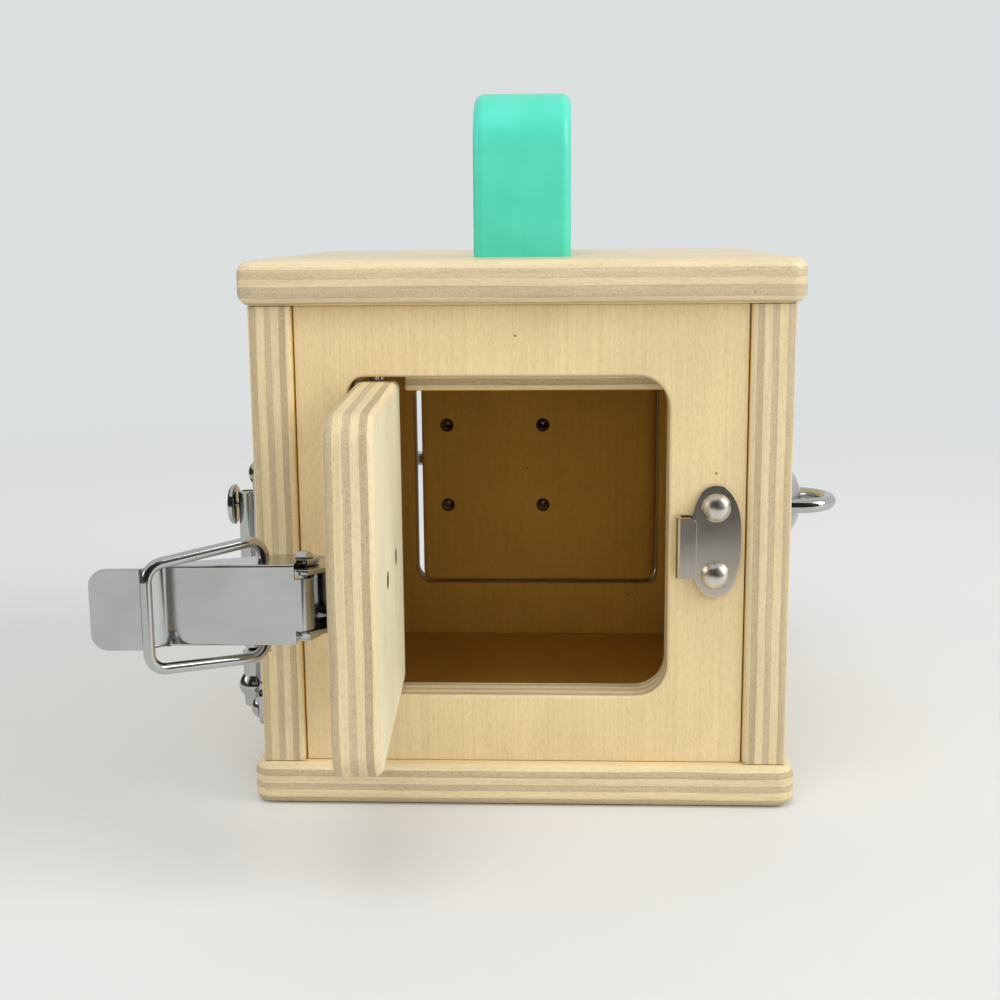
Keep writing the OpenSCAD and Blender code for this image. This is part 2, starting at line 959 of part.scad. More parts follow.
module latch_lever() {
    color(steel)
        at_lever()
            difference() {
                union() {
                    difference() {
                        lever_channel();
                        folded_section(latch_sheet - lever_root, lever_in_w, lever_face - latch_sheet,
                                       lever_fold_r - latch_sheet);
                        for (z = [lever_root_w / 2, -lever_w])
                            translate([lever_notch - lever_len, -lever_face, z])
                                cube([lever_len, 3 * lever_face, lever_w - lever_root_w / 2]);
                    }
                    intersection() {
                        linear_extrude(lever_w, center = true)
                            thumb_outline();
                        rotate([-90, 0, 0])
                            linear_extrude(4 * lever_face, center = true)
                                translate([lever_len / 2, 0])
                                    rounded_rect(lever_len, lever_w, thumb_end_r);
                    }
                    for (z = [-lever_w / 2, lever_in_w / 2])
                        translate([0, 0, z])
                            linear_extrude(latch_sheet)
                                lever_eye();
                }
                cylinder(d = rivet_d + 2 * running_fit, h = 2 * lever_w, center = true);
                translate([bail_arm, bail_rise, 0])
                    cylinder(d = bail_d + 2 * running_fit, h = 2 * lever_w, center = true);
            }
}

// Half of the bail in its own plane: X away from its pivot, Y along the pivot
module bail_half_wire() {
    stub = lever_in_w / 2 - bail_stub_in;
    y1 = bail_half - bail_bend_r;
    leg = (bail_len - 2 * bail_bend_r) / cos(bail_lean);
    p1 = [bail_bend_r * (1 + sin(bail_lean)), y1 + bail_bend_r * cos(bail_lean)];
    c2 = [bail_len - bail_bend_r, y1 - leg * sin(bail_lean)];
    wire_run([0, stub], y1 - stub, 90, bail_d);
    translate([bail_bend_r, y1, 0])
        wire_bend(bail_bend_r, bail_d, 90 - bail_lean, 90 + bail_lean);
    wire_run(p1, leg, -bail_lean, bail_d);
    translate([c2[0], c2[1], 0])
        wire_bend(bail_bend_r, bail_d, 0, 90 - bail_lean);
}

module latch_bail() {
    color(steel)
        at_lever()
            translate([bail_arm, bail_rise, 0])
                rotate([0, 0, bail_angle])
                    rotate([90, 0, 0]) {
                        bail_half_wire();
                        mirror([0, 1, 0])
                            bail_half_wire();
                        wire_run([bail_len, -bail_bar], 2 * bail_bar, 90, bail_d);
                    }
}

// Keeper of the draw latch on the front panel

module keeper_screw_places() {
    for (s = [-1, 1])
        on_face(keeper_u, latch_z + keeper_rise + s * keeper_screw_gap / 2)
            children();
}

// Oval plate between an ellipse and a rectangle
module oval(w, h) {
    power = 2 / 2.3;
    polygon([for (i = [0 : 47]) let (a = i * 7.5)
        [sign(cos(a)) * w / 2 * pow(abs(cos(a)), power), sign(sin(a)) * h / 2 * pow(abs(sin(a)), power)]]);
}

// Section of the hook: X along the panel, Y out of it, open to the right
module hook_tab_outline() {
    difference() {
        translate([hook_lip / 2, hook_tab_out / 2])
            rounded_rect(hook_lip, hook_tab_out, hook_tab_r);
        translate([latch_sheet, latch_sheet])
            square([hook_lip, hook_slot]);
    }
    translate([hook_tab_r, 0])
        square([hook_lip, latch_sheet]);
}

module latch_keeper() {
    color(steel)
        at_front()
            on_face(keeper_u, latch_z)
                difference() {
                    union() {
                        translate([0, keeper_rise, 0])
                            linear_extrude(latch_sheet)
                                oval(keeper_w, keeper_h);
                        translate([-hook_tab_reach, hook_tab_h / 2, 0])
                            rotate([90, 0, 0])
                                linear_extrude(hook_tab_h)
                                    hook_tab_outline();
                    }
                    for (s = [-1, 1])
                        translate([0, keeper_rise + s * keeper_screw_gap / 2, 0])
                            sheet_hole(latch_sheet);
                }
}

module keeper_screws() {
    color(steel)
        at_front()
            keeper_screw_places()
                dome_screw(latch_sheet, short_screw);
}

// Barrel bolt on the back door

module bolt_screw_places() {
    for (sx = [-1, 1], sy = [-1, 1])
        on_face(bolt_u + sx * bolt_screw_x / 2, bolt_z + sy * bolt_screw_y / 2)
            children();
}

// Strap over the rod, in the plane of X across the rod and Y out of the face
module strap_outline(bore_r) {
    outer_r = bore_r + strap_t;
    difference() {
        union() {
            translate([0, bolt_out])
                circle(outer_r);
            translate([-outer_r, 0])
                square([2 * outer_r, bolt_out]);
        }
        translate([0, bolt_out])
            circle(bore_r);
        translate([-bore_r, -1])
            square([2 * bore_r, bolt_out + 1]);
    }
}

module strap(u, bore_r) {
    translate([u - strap_w / 2, 0, 0])
        rotate([90, 0, 90])
            linear_extrude(strap_w)
                strap_outline(bore_r);
}

module bolt_base() {
    color(steel)
        at_back()
            on_face(bolt_u, bolt_z)
                difference() {
                    union() {
                        linear_extrude(bolt_sheet)
                            rounded_rect(bolt_len, bolt_w, bolt_plate_r);
                        for (s = [-1, 1])
                            strap(s * strap_out, rod_d / 2 + running_fit);
                    }
                    for (sx = [-1, 1], sy = [-1, 1])
                        translate([sx * bolt_screw_x / 2, sy * bolt_screw_y / 2, 0])
                            sheet_hole(bolt_sheet);
                }
}

module bolt_screws() {
    color(steel)
        at_back()
            bolt_screw_places()
                dome_screw(bolt_sheet, ply_t - tip_recess, small_dome_d);
}

module bolt_rod() {
    color(steel)
        at_back()
            on_face(0, bolt_z)
                difference() {
                    translate([bolt_u - rod_tail, 0, bolt_out])
                        rotate([0, 90, 0])
                            cylinder(d = rod_d, h = rod_tip_u - bolt_u + rod_tail);
                    translate([bolt_stem_u, 0, bolt_out - rod_d])
                        cylinder(d = bolt_stem_d + 2 * seat_fit, h = 2 * rod_d);
                }
}

module bolt_knob() {
    color(steel)
        at_back()
            on_face(bolt_stem_u, bolt_z)
                translate([0, 0, bolt_out]) {
                    translate([0, 0, end_play - rod_d / 2])
                        cylinder(d = bolt_stem_d, h = rod_d - end_play + bolt_stem_h);
                    translate([0, 0, rod_d / 2 + bolt_stem_h - bolt_knob_sink])
                        cylinder(d = bolt_knob_d, h = bolt_knob_t);
                    translate([0, 0, rod_d / 2 + bolt_stem_h - bolt_knob_sink + bolt_knob_t])
                        dome(bolt_knob_d, bolt_knob_dome);
                }
}

module bolt_keeper_screw_places() {
    for (s = [-1, 1])
        on_face(bolt_keeper_u, bolt_z + s * bolt_keeper_screw)
            children();
}

module bolt_keeper() {
    foot_h = 2 * (bolt_keeper_screw + small_dome_d / 2 + screw_margin);
    bore_r = rod_d / 2 + loose_fit;
    color(steel)
        at_back()
            on_face(bolt_keeper_u, bolt_z)
                difference() {
                    union() {
                        linear_extrude(bolt_sheet)
                            rounded_rect(strap_w + 1, foot_h, bolt_keeper_r);
                        strap(0, bore_r);
                    }
                    translate([0, 0, bolt_out])
                        rotate([0, 90, 0])
                            cylinder(r = bore_r, h = 2 * strap_w, center = true);
                    for (s = [-1, 1])
                        translate([0, s * bolt_keeper_screw, 0])
                            sheet_hole(bolt_sheet);
                }
}

module bolt_keeper_screws() {
    color(steel)
        at_back()
            bolt_keeper_screw_places()
                dome_screw(bolt_sheet, short_screw, small_dome_d);
}

// Drop bolt on the left panel and its tongue on the left door

module drop_screw_places() {
    for (s = [-1, 1])
        on_face(drop_u + s * drop_low_screw_x, drop_low_screw_z)
            children();
    on_face(drop_u, drop_top_screw_z)
        children();
}

// Upright tube on the drop bolt's plate, with the web that carries it
module drop_tube(z0, z1, r) {
    translate([0, z0, drop_out])
        rotate([-90, 0, 0])
            cylinder(r = r, h = z1 - z0);
    translate([-drop_web / 2, z0, drop_sheet / 2])
        cube([drop_web, z1 - z0, drop_out - drop_sheet / 2]);
}

module drop_base() {
    bore_d = drop_rod_d + 2 * running_fit;
    slot_z0 = drop_knob_z - drop_travel - drop_slot_end;
    slot_z1 = drop_knob_z + drop_slot_end;
    color(steel)
        at_left()
            on_face(drop_u, 0)
                difference() {
                    union() {
                        linear_extrude(drop_sheet) {
                            translate([0, drop_foot_z + drop_len / 2])
                                rounded_rect(drop_plate_w, drop_len, drop_plate_r);
                            translate([0, drop_foot_z + drop_foot_h / 2])
                                rounded_rect(drop_foot_w, drop_foot_h, drop_plate_r);
                        }
                        drop_tube(drop_barrel_z0, drop_barrel_z1, drop_barrel_r);
                        drop_tube(drop_sleeve_z0, drop_sleeve_z1, drop_sleeve_r);
                        translate([0, drop_foot_z + drop_foot_h - drop_collar_h, drop_out])
                            rotate([-90, 0, 0])
                                rotate_extrude()
                                    polygon([
                                        [0, 0],
                                        [drop_sleeve_r, 0],
                                        [drop_collar_r, drop_collar_taper],
                                        [drop_collar_r, drop_collar_h - drop_collar_taper],
                                        [drop_sleeve_r, drop_collar_h],
                                        [0, drop_collar_h]
                                    ]);
                    }
                    translate([0, drop_sleeve_z0 + drop_sleeve_floor, drop_out])
                        rotate([-90, 0, 0])
                            cylinder(d = bore_d, h = drop_len);
                    translate([-drop_stem_d / 2 - loose_fit, slot_z0, drop_out])
                        cube([drop_stem_d + 2 * loose_fit, slot_z1 - slot_z0, drop_out]);
                    for (s = [-1, 1])
                        translate([s * drop_low_screw_x, drop_low_screw_z, 0])
                            sheet_hole(drop_sheet);
                    translate([0, drop_top_screw_z, 0])
                        sheet_hole(drop_sheet);
                }
}

module drop_screws() {
    color(steel)
        at_left() {
            for (s = [-1, 1])
                on_face(drop_u + s * drop_low_screw_x, drop_low_screw_z)
                    dome_screw(drop_sheet, short_screw, small_dome_d);
            on_face(drop_u, drop_top_screw_z)
                dome_screw(drop_sheet, short_screw);
        }
}

module drop_rod() {
    color(steel)
        at_left()
            on_face(drop_u, 0)
                difference() {
                    translate([0, drop_tip_z, drop_out])
                        rotate([-90, 0, 0])
                            cylinder(d = drop_rod_d, h = drop_rod_top_z - drop_tip_z);
                    translate([0, drop_knob_z, 0])
                        cylinder(d = drop_stem_d + 2 * seat_fit, h = 3 * drop_out);
                }
}

module drop_knob() {
    color(steel)
        at_left()
            on_face(drop_u, drop_knob_z) {
                translate([0, 0, drop_out - drop_rod_d / 2 + end_play])
                    cylinder(d = drop_stem_d, h = drop_knob_out - drop_out + drop_rod_d / 2);
                translate([0, 0, drop_knob_out])
                    cylinder(d = drop_knob_d, h = drop_knob_t);
            }
}

module tongue_screw_places() {
    for (s = [-1, 1])
        on_face(tongue_u1 - tongue_plate_w / 2 + s * tongue_screw_gap / 2, tongue_z + tongue_screw_rise)
            children();
}

module drop_tongue() {
    low = tongue_z - tongue_t / 2;
    reach = drop_u - tongue_u1;
    color(steel)
        at_left()
            difference() {
                on_face(tongue_u1, low) {
                    translate([-tongue_plate_w, 0, 0])
                        cube([tongue_plate_w, tongue_plate_h, drop_sheet]);
                    translate([-tongue_plate_w, tongue_t, 0])
                        rotate([90, 0, 0])
                            linear_extrude(tongue_t) {
                                square([tongue_plate_w, drop_out + tongue_eye_r]);
                                translate([tongue_plate_w - 1, drop_out - tongue_eye_r])
                                    square([reach + 1, 2 * tongue_eye_r]);
                                translate([tongue_plate_w + reach, drop_out])
                                    circle(tongue_eye_r);
                            }
                }
                translate([drop_u, -ply_t / 2 - drop_out, low - 1])
                    cylinder(r = tongue_hole_r, h = tongue_t + 2);
                tongue_screw_places()
                    sheet_hole(drop_sheet);
            }
}

module tongue_screws() {
    color(steel)
        at_left()
            tongue_screw_places()
                dome_screw(drop_sheet, short_screw, small_dome_d);
}

// Hook on the right door and its staple on the right panel

module staple() {
    color(steel)
        at_right()
            on_face(staple_u, staple_z) {
                dome(staple_dome_d, staple_dome_h);
                translate([0, 0, -staple_shank])
                    cylinder(d = shank_d, h = staple_shank + merge_lap);
                translate([0, 0, staple_ring_out])
                    rotate([90, 0, 0])
                        wire_bend(staple_ring_r, hook_wire_d, 0, 180);
                for (s = [-1, 1])
                    translate([s * staple_ring_r, 0, 0])
                        cylinder(d = hook_wire_d, h = staple_ring_out);
            }
}

module hook_mount() {
    collar_top = hook_out - hook_wire_d / 2 - end_play;
    cap_foot = hook_out + hook_wire_d / 2 + end_play;
    color(steel)
        at_right()
            on_face(hook_u, hook_z) {
                dome(hook_dome_d, hook_dome_h);
                translate([0, 0, -staple_shank])
                    cylinder(d = shank_d, h = staple_shank + merge_lap);
                cylinder(r = hook_collar_r, h = collar_top);
                cylinder(d = hook_post_d, h = cap_foot + hook_cap_h);
                translate([0, 0, cap_foot])
                    cylinder(r = hook_cap_r, h = hook_cap_h);
            }
}

// The hook hangs down from its mount, with its tip turned to the back
module hook() {
    run = hook_arm - hook_bend_r;
    color(steel)
        at_right()
            on_face(hook_u, hook_z)
                translate([0, 0, hook_out])
                    rotate([0, 0, -90])
                        difference() {
                            union() {
                                cylinder(r = hook_eye_r, h = hook_wire_d, center = true);
                                wire_run([0, 0], run, 0, hook_wire_d);
                                translate([run, -hook_bend_r, 0])
                                    wire_bend(hook_bend_r, hook_wire_d, 0, 90);
                                wire_run([hook_arm, -hook_bend_r], hook_tip, -90, hook_wire_d);
                            }
                            cylinder(d = hook_post_d + 2 * running_fit, h = 2 * hook_wire_d, center = true);
                        }
}

base();
lid();
front_panel();
back_panel();
left_panel();
right_panel();
base_dowels();
lid_dowels();
front_stop();
back_stop();
left_stop();
right_stop();
front_door();
back_door();
left_door();
right_door();
front_hinge_pins();
back_hinge_pins();
left_hinge_pins();
right_hinge_pins();
handle();
handle_screws();
latch_base();
latch_screws();
latch_rivet();
latch_lever();
latch_bail();
latch_keeper();
keeper_screws();
bolt_base();
bolt_screws();
bolt_rod();
bolt_knob();
bolt_keeper();
bolt_keeper_screws();
drop_base();
drop_screws();
drop_rod();
drop_knob();
drop_tongue();
tongue_screws();
staple();
hook_mount();
hook();
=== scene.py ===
"""Dresses a plywood lock box with detailed boards, doors, locks, a handle and a plain stage."""

import json
import math

import bmesh
import bpy
from mathutils import Matrix, Vector


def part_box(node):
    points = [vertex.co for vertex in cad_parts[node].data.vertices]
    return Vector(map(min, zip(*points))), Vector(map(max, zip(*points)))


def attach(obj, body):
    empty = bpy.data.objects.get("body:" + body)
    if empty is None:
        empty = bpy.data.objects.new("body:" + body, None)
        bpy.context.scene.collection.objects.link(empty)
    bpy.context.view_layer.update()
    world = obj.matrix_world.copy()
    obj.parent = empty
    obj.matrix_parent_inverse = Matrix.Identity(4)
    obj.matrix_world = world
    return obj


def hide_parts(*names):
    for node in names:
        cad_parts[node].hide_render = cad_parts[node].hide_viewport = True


bl_info = {
    "name": "Lock Box",
    "version": (1, 0, 0),
    "blender": (4, 5, 0),
    "location": "3D View > Sidebar > Lock Box",
    "description": "Dresses a plywood lock box with boards, doors, locks, a handle and a stage",
    "category": "Add Mesh",
}

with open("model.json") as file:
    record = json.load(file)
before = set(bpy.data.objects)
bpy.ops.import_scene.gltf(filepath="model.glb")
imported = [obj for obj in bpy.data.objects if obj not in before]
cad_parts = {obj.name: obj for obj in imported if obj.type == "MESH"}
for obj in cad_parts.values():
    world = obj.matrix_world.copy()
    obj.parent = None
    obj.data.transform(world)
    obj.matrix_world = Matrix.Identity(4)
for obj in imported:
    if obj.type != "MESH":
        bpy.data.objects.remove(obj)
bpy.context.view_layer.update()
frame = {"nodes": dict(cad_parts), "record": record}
MM = 0.001
JOINTS = {joint["name"]: joint for joint in frame["record"]["behaviour"]["joints"]}


# Places that come from the frame, in millimetres

def corners(name):
    """Lowest and highest corner of a CAD node at rest"""
    low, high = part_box(name)
    return low / MM, high / MM


def size(name):
    """Width, depth and height of a CAD node"""
    low, high = corners(name)
    return high - low


def middle(name):
    """Middle of a CAD node"""
    low, high = corners(name)
    return (low + high) / 2


def pin(joint):
    """The point that a hinge turns about"""
    return Vector(JOINTS[joint]["pos_m"]) / MM


def turn(angle, axis):
    return Matrix.Rotation(math.radians(angle), 4, axis)


def shift(x, y, z=0.0):
    return Matrix.Translation((x, y, z))


PLY = size("base").z
DOOR_ANGLE = JOINTS["front_door_hinge"]["range_deg"][1]


def wall_frame(joint, angle, mirrored=False):
    """A wall seen from outside: X from its hinge pin to the free edge, Y into the box, Z up"""
    point = pin(joint)
    place = shift(point.x, point.y) @ turn(angle, "Z")
    return place @ Matrix.Scale(-1, 4, (1, 0, 0)) if mirrored else place


FRONT_WALL = wall_frame("front_door_hinge", 0)
FRONT_DOOR = wall_frame("front_door_hinge", -DOOR_ANGLE)
BACK_WALL = wall_frame("back_door_hinge", 180)
LEFT_WALL = wall_frame("left_door_hinge", -90)
RIGHT_WALL = wall_frame("right_door_hinge", 90, mirrored=True)


def on_face(wall, u, z):
    """The outer face of a wall or door: X along it, Y up, Z out of it"""
    return wall @ shift(u, -PLY / 2, z) @ turn(90, "X")


def seen_from(wall, name):
    """Middle of a CAD node, as X along a wall, Y into it and Z up"""
    return wall.inverted() @ middle(name)


# Turns one after another that set an outline's X to Y, its Y to Z and its height to X
END_ON = turn(90, "Z") @ turn(90, "X")
# Lays a shape along Y that stands along Z
UPRIGHT = turn(-90, "X")

LEVER_PIVOT = FRONT_DOOR.inverted() @ pin("latch_lever_pivot")
BAIL_PIVOT = FRONT_DOOR.inverted() @ pin("latch_bail_pivot")
BOLT = seen_from(BACK_WALL, "bolt_base")
DROP = seen_from(LEFT_WALL, "drop_base")
KEEPER = seen_from(FRONT_WALL, "keeper_screws")
STAPLE = seen_from(RIGHT_WALL, "staple")
MOUNT = seen_from(RIGHT_WALL, "hook_mount")


# Sizes and colours that a user would change

def linear(hex_colour):
    """sRGB hex colour as linear red, green, blue and alpha"""
    parts = [int(hex_colour[i:i + 2], 16) / 255 for i in (1, 3, 5)]
    return [c / 12.92 if c <= 0.04045 else ((c + 0.055) / 1.055) ** 2.4 for c in parts] + [1.0]


def length(name, description, millimetres):
    return bpy.props.FloatProperty(name=name, description=description, default=millimetres * MM, min=0.0,
                                   precision=5, unit="LENGTH", subtype="DISTANCE")


def tint(name, description, hex_colour):
    return bpy.props.FloatVectorProperty(name=name, description=description, default=linear(hex_colour),
                                         size=4, min=0.0, max=1.0, subtype="COLOR")


class LockBoxWood(bpy.types.PropertyGroup):
    """Plywood boards"""

    board_corner: length("Board corner", "Corner radius of the lid and base", 4.0)
    board_ease: length("Board edge", "Rounding of the lid's and base's edges", 2.5)
    wall_ease: length("Wall edge", "Rounding of the side panels' upright edges", 1.5)
    panel_ease: length("Panel edge", "Rounding of the front and back panels' upright edges", 0.3)
    open_width: length("Opening width", "Width of a door opening", 65.2)
    open_height: length("Opening height", "Height of a door opening", 67.0)
    open_corner: length("Opening corner", "Corner radius of an opening at its free side", 6.5)
    hinge_corner: length("Hinge corner", "Corner radius of an opening at its hinge side", 3.3)
    open_ease: length("Opening edge", "Rounding of an opening's edges", 0.7)
    back_extra: length("Back opening", "Extra width of the back opening", 0.9)
    back_open_corner: length("Back opening corner", "Corner radius of the back opening at its free side", 3.6)
    back_open_hinge: length("Back opening hinge", "Corner radius of the back opening at its hinge side", 2.2)
    back_door_corner: length("Back door corner", "Corner radius of the back door at its free edge", 2.6)
    back_hinge_corner: length("Back hinge corner", "Corner radius of the back door at its hinge edge", 3.8)
    back_drop: length("Back drop", "How far the back door's foot is let down to its opening", 0.4)
    joint_ease: length("Joint edge", "Rounding of a wall's edges under the lid and on the base", 0.4)
    panel_gap: length("Panel gap", "Dark joint between a panel and a side panel", 0.2)
    pin_inset: length("Pin inset", "Hinge pin from the hinge side of the opening", 5.6)
    door_corner: length("Door corner", "Corner radius of a door", 5.5)
    door_ease: length("Door edge", "Rounding of a door's edges", 1.5)
    hinge_ease: length("Hinge edge", "Rounding of a door's hinge edge", 4.1)
    hinge_reach: length("Hinge reach", "How far a door's hinge edge is drawn out to its opening", 0.2)
    hole_ease: length("Hole edge", "Torn rim of a screw hole on a door's inner face", 0.35)
    stop_ease: length("Stop edge", "Rounding of a door stop's edges", 0.5)
    veneer: tint("Veneer", "Outer veneer", "#E2CC9E")
    pale_veneer: tint("Pale veneer", "Veneer on the front door's inner face", "#E4DFC0")
    # Painted shade: a deep amber for the dim inside of the box, on the walls' inner faces, the back door, the
    # battens and the insides of the lid and base
    painted_shade_veneer: tint("Inner veneer", "Bare, aged veneer inside the box", "#D8AC50")
    # Painted shade, lighter than the inner veneer's, on the inner faces of the side doors
    honey_shade_veneer: tint("Honey veneer", "Veneer on the inner faces of the side doors", "#DDBD80")
    cream_ply: tint("Cream ply", "Innermost long ply", "#E0CFA8")
    peach_ply: tint("Peach ply", "Inner long ply", "#DECCA7")
    straw_ply: tint("Straw ply", "Outer long ply", "#DFCDA4")
    grey_ply: tint("Grey ply", "Inner cross ply, which shows its end grain", "#BFAE8B")
    core_ply: tint("Core ply", "Middle cross ply", "#C9B796")
    pale_cross_ply: tint("Pale cross ply", "Upper cross ply of the lid", "#D3C19C")
    sand_ply: tint("Sand ply", "Outer cross ply", "#C4B391")


class LockBoxMetal(bpy.types.PropertyGroup):
    """Nickel-plated fittings"""

    head: length("Screw head", "Diameter of a dome head", 6.0)
    small_head: length("Small head", "Diameter of a small dome head", 5.0)
    head_height: length("Head height", "Height of a dome head", 1.9)
    shank: length("Shank", "Diameter of a screw's shank", 2.8)
    short_screw: length("Short screw", "Depth of a short screw in the wood", 6.5)
    long_screw: length("Long screw", "Depth of a long screw in a door", 5.6)
    sheet: length("Sheet", "Thickness of the latch and bolt plates", 1.0)
    heavy_sheet: length("Heavy sheet", "Thickness of the drop bolt's plates", 1.2)
    sheet_ease: length("Sheet edge", "Rounding of a sheet's edges", 0.25)
    near_screw: length("Near screw", "Near screw of the latch base from the lever's pivot", 11.5)
    far_screw: length("Far screw", "Far screw of the latch base from the lever's pivot", 31.2)
    bolt_screw_along: length("Bolt screws along", "Distance between the bolt's screws along its rod", 26.0)
    bolt_screw_across: length("Bolt screws across", "Distance between the bolt's screws across its rod", 22.0)
    lever_width: length("Lever width", "Width of the latch lever", 14.4)
    lever_length: length("Lever length", "Length of the latch lever from its pivot", 36.0)
    lever_face: length("Lever face", "Lever's face above its pivot", 6.5)
    thumb_set: length("Thumb end", "How far the lever's thumb end is set out", 2.6)
    bail_wire: length("Bail wire", "Diameter of the bail's wire", 2.0)
    hook_wire: length("Hook wire", "Diameter of the wire of the hook and staple", 3.0)
    nickel: tint("Nickel", "Bright nickel plate", "#BFC0BF")
    smeared: tint("Smeared nickel", "Nickel plate where hands have dulled it", "#B6B6B3")
    warm: tint("Warm nickel", "Warmer nickel plate of the keeper", "#D8D0C2")
    dulled: tint("Dulled nickel", "Keeper's plate where it is worn", "#C6BEB0")
    tumbled: tint("Tumbled nickel", "Pale nickel of the screws", "#DDD9D0")
    scuffed: tint("Scuffed nickel", "Screws where they are scuffed", "#CFCAC0")


class LockBoxHandle(bpy.types.PropertyGroup):
    """Moulded carrying handle"""

    strap: length("Strap", "Thickness of the strap", 6.5)
    shoulder: length("Shoulder", "Outer radius of the shoulders", 12.0)
    edge: length("Edge", "Rounding of the strap's long edges", 2.2)
    mint: tint("Mint", "Mint-green plastic", "#55D8BE")
    deep_mint: tint("Deep mint", "Mint-green plastic at its flow marks", "#4DD1B5")


class LockBoxStage(bpy.types.PropertyGroup):
    """Camera, light and floor"""

    camera_place: bpy.props.FloatVectorProperty(
        name="Camera", description="Place of the camera", size=3, subtype="TRANSLATION", unit="LENGTH",
        default=(0.00964, -0.34855, 0.12056))
    camera_turn: bpy.props.FloatVectorProperty(
        name="Turn", description="Pitch, roll and yaw of the camera", size=3, subtype="EULER",
        unit="ROTATION", default=(math.radians(79.382), math.radians(-0.484), math.radians(2.708)))
    lens: bpy.props.FloatProperty(
        name="Lens", description="Focal length on a 36 mm wide sensor", default=52.76, min=1.0, unit="CAMERA")
    floor: tint("Floor", "Pale floor", "#DFE0DF")
    backdrop: tint("Backdrop", "Pale light all round, and the far floor", "#DDE0E1")
    shade: tint("Shade", "Dark card behind the camera, which the metal mirrors", "#3A3632")


GROUPS = {
    "lock_box_wood": LockBoxWood,
    "lock_box_metal": LockBoxMetal,
    "lock_box_handle": LockBoxHandle,
    "lock_box_stage": LockBoxStage,
}


class Settings:
    """A property group's values, with its lengths in millimetres"""

    def __init__(self, group):
        for name in type(group).__annotations__:
            value = getattr(group, name)
            setattr(self, name, value / MM if isinstance(value, float) else value)


# Finishes

def node(tree, kind, inputs, stops=(), **settings):
    """Adds a node; an input is a value or the socket that feeds it, and stops are a ramp's colours"""
    made = tree.nodes.new(kind)
    for name, value in settings.items():
        setattr(made, name, value)
    for name, value in inputs.items():
        if isinstance(value, bpy.types.NodeSocket):
            tree.links.new(value, made.inputs[name])
        else:
            made.inputs[name].default_value = value
    if stops:
        elements = made.color_ramp.elements
        elements[0].position, elements[0].color = stops[0]
        elements[-1].position, elements[-1].color = stops[-1]
        for place, tone in stops[1:-1]:
            elements.new(place).color = tone
    return made


def new_finish(name, values):
    """A material with the shader's own values set; returns it with its tree, shader and Object coordinates"""
    finish = bpy.data.materials.new(name)
    finish.use_nodes = True
    tree = finish.node_tree
    tree.nodes.clear()
    shader = node(tree, "ShaderNodeBsdfPrincipled", values)
    node(tree, "ShaderNodeOutputMaterial", {"Surface": shader.outputs["BSDF"]})
    return finish, tree, shader, node(tree, "ShaderNodeTexCoord", {}).outputs["Object"]


def mottled(tree, place, patch, detail, stops):
    """Cloudy noise with patches of a size in the units of place, and the tone that it gives"""
    noise = node(tree, "ShaderNodeTexNoise", {
        "Vector": place, "Scale": 1 / patch, "Detail": detail}).outputs["Fac"]
    return noise, node(tree, "ShaderNodeValToRGB", {"Fac": noise}, stops=stops).outputs["Color"]


def coat(tree, shader, tone, height, strength, depth):
    """Gives the shader its tone, and bumps of a depth in millimetres"""
    tree.links.new(tone, shader.inputs["Base Color"])
    bump = node(tree, "ShaderNodeBump", {"Height": height, "Strength": strength, "Distance": depth * MM})
    tree.links.new(bump.outputs["Normal"], shader.inputs["Normal"])


def grey(value):
    return (value, value, value, 1.0)


# Roughness and specular level of the wood, and the share of its thickness, from the inner face, that carries
# painted shade
SEALED = (0.28, 0.5, 0.01)
SANDED = (0.68, 0.15, 0.01)
BARE = (0.9, 0.0, 0.025)
# The back panel and back door carry painted shade a quarter of the way into their edges, so that the gaps
# round the back door read dark
PAINTED_SHADE_DEEP = (0.9, 0.0, 0.26)
# Glue lines through a seven-ply board, from its inner face to its outer face, as shares of its thickness
GLUE_LINES = (0.14, 0.28, 0.465, 0.605, 0.80, 0.955)
LID_GLUE_LINES = (0.2, 0.4, 0.58, 0.82, 0.93, 0.96)
GLUE_BLUR = 0.008


# Plies of a board and of the lid, whose plies are more alike, from the inner face to the outer face
PLIES = ("cream_ply", "grey_ply", "peach_ply", "core_ply", "straw_ply", "sand_ply", "veneer")
LID_PLIES = ("cream_ply", "pale_cross_ply", "straw_ply", "core_ply", "peach_ply", "sand_ply", "veneer")


def ply_stops(tones, skin, painted_shade, lines):
    """Ramp through a board: a skin in the inner face's colour, which inside the box is painted shade, then
    the plies with a darker glue line between two
    """
    stops = [(0.0, skin), (painted_shade, skin)]
    if painted_shade < lines[0]:
        stops.append((painted_shade + GLUE_BLUR, tones[0]))
    for line, before, after in zip(lines, tones, tones[1:]):
        if line < painted_shade:
            continue
        glue = [0.8 * min(pair) for pair in zip(before, after)][:3] + [1.0]
        stops += [(line - GLUE_BLUR, before), (line, glue), (line + GLUE_BLUR, after)]
    return stops


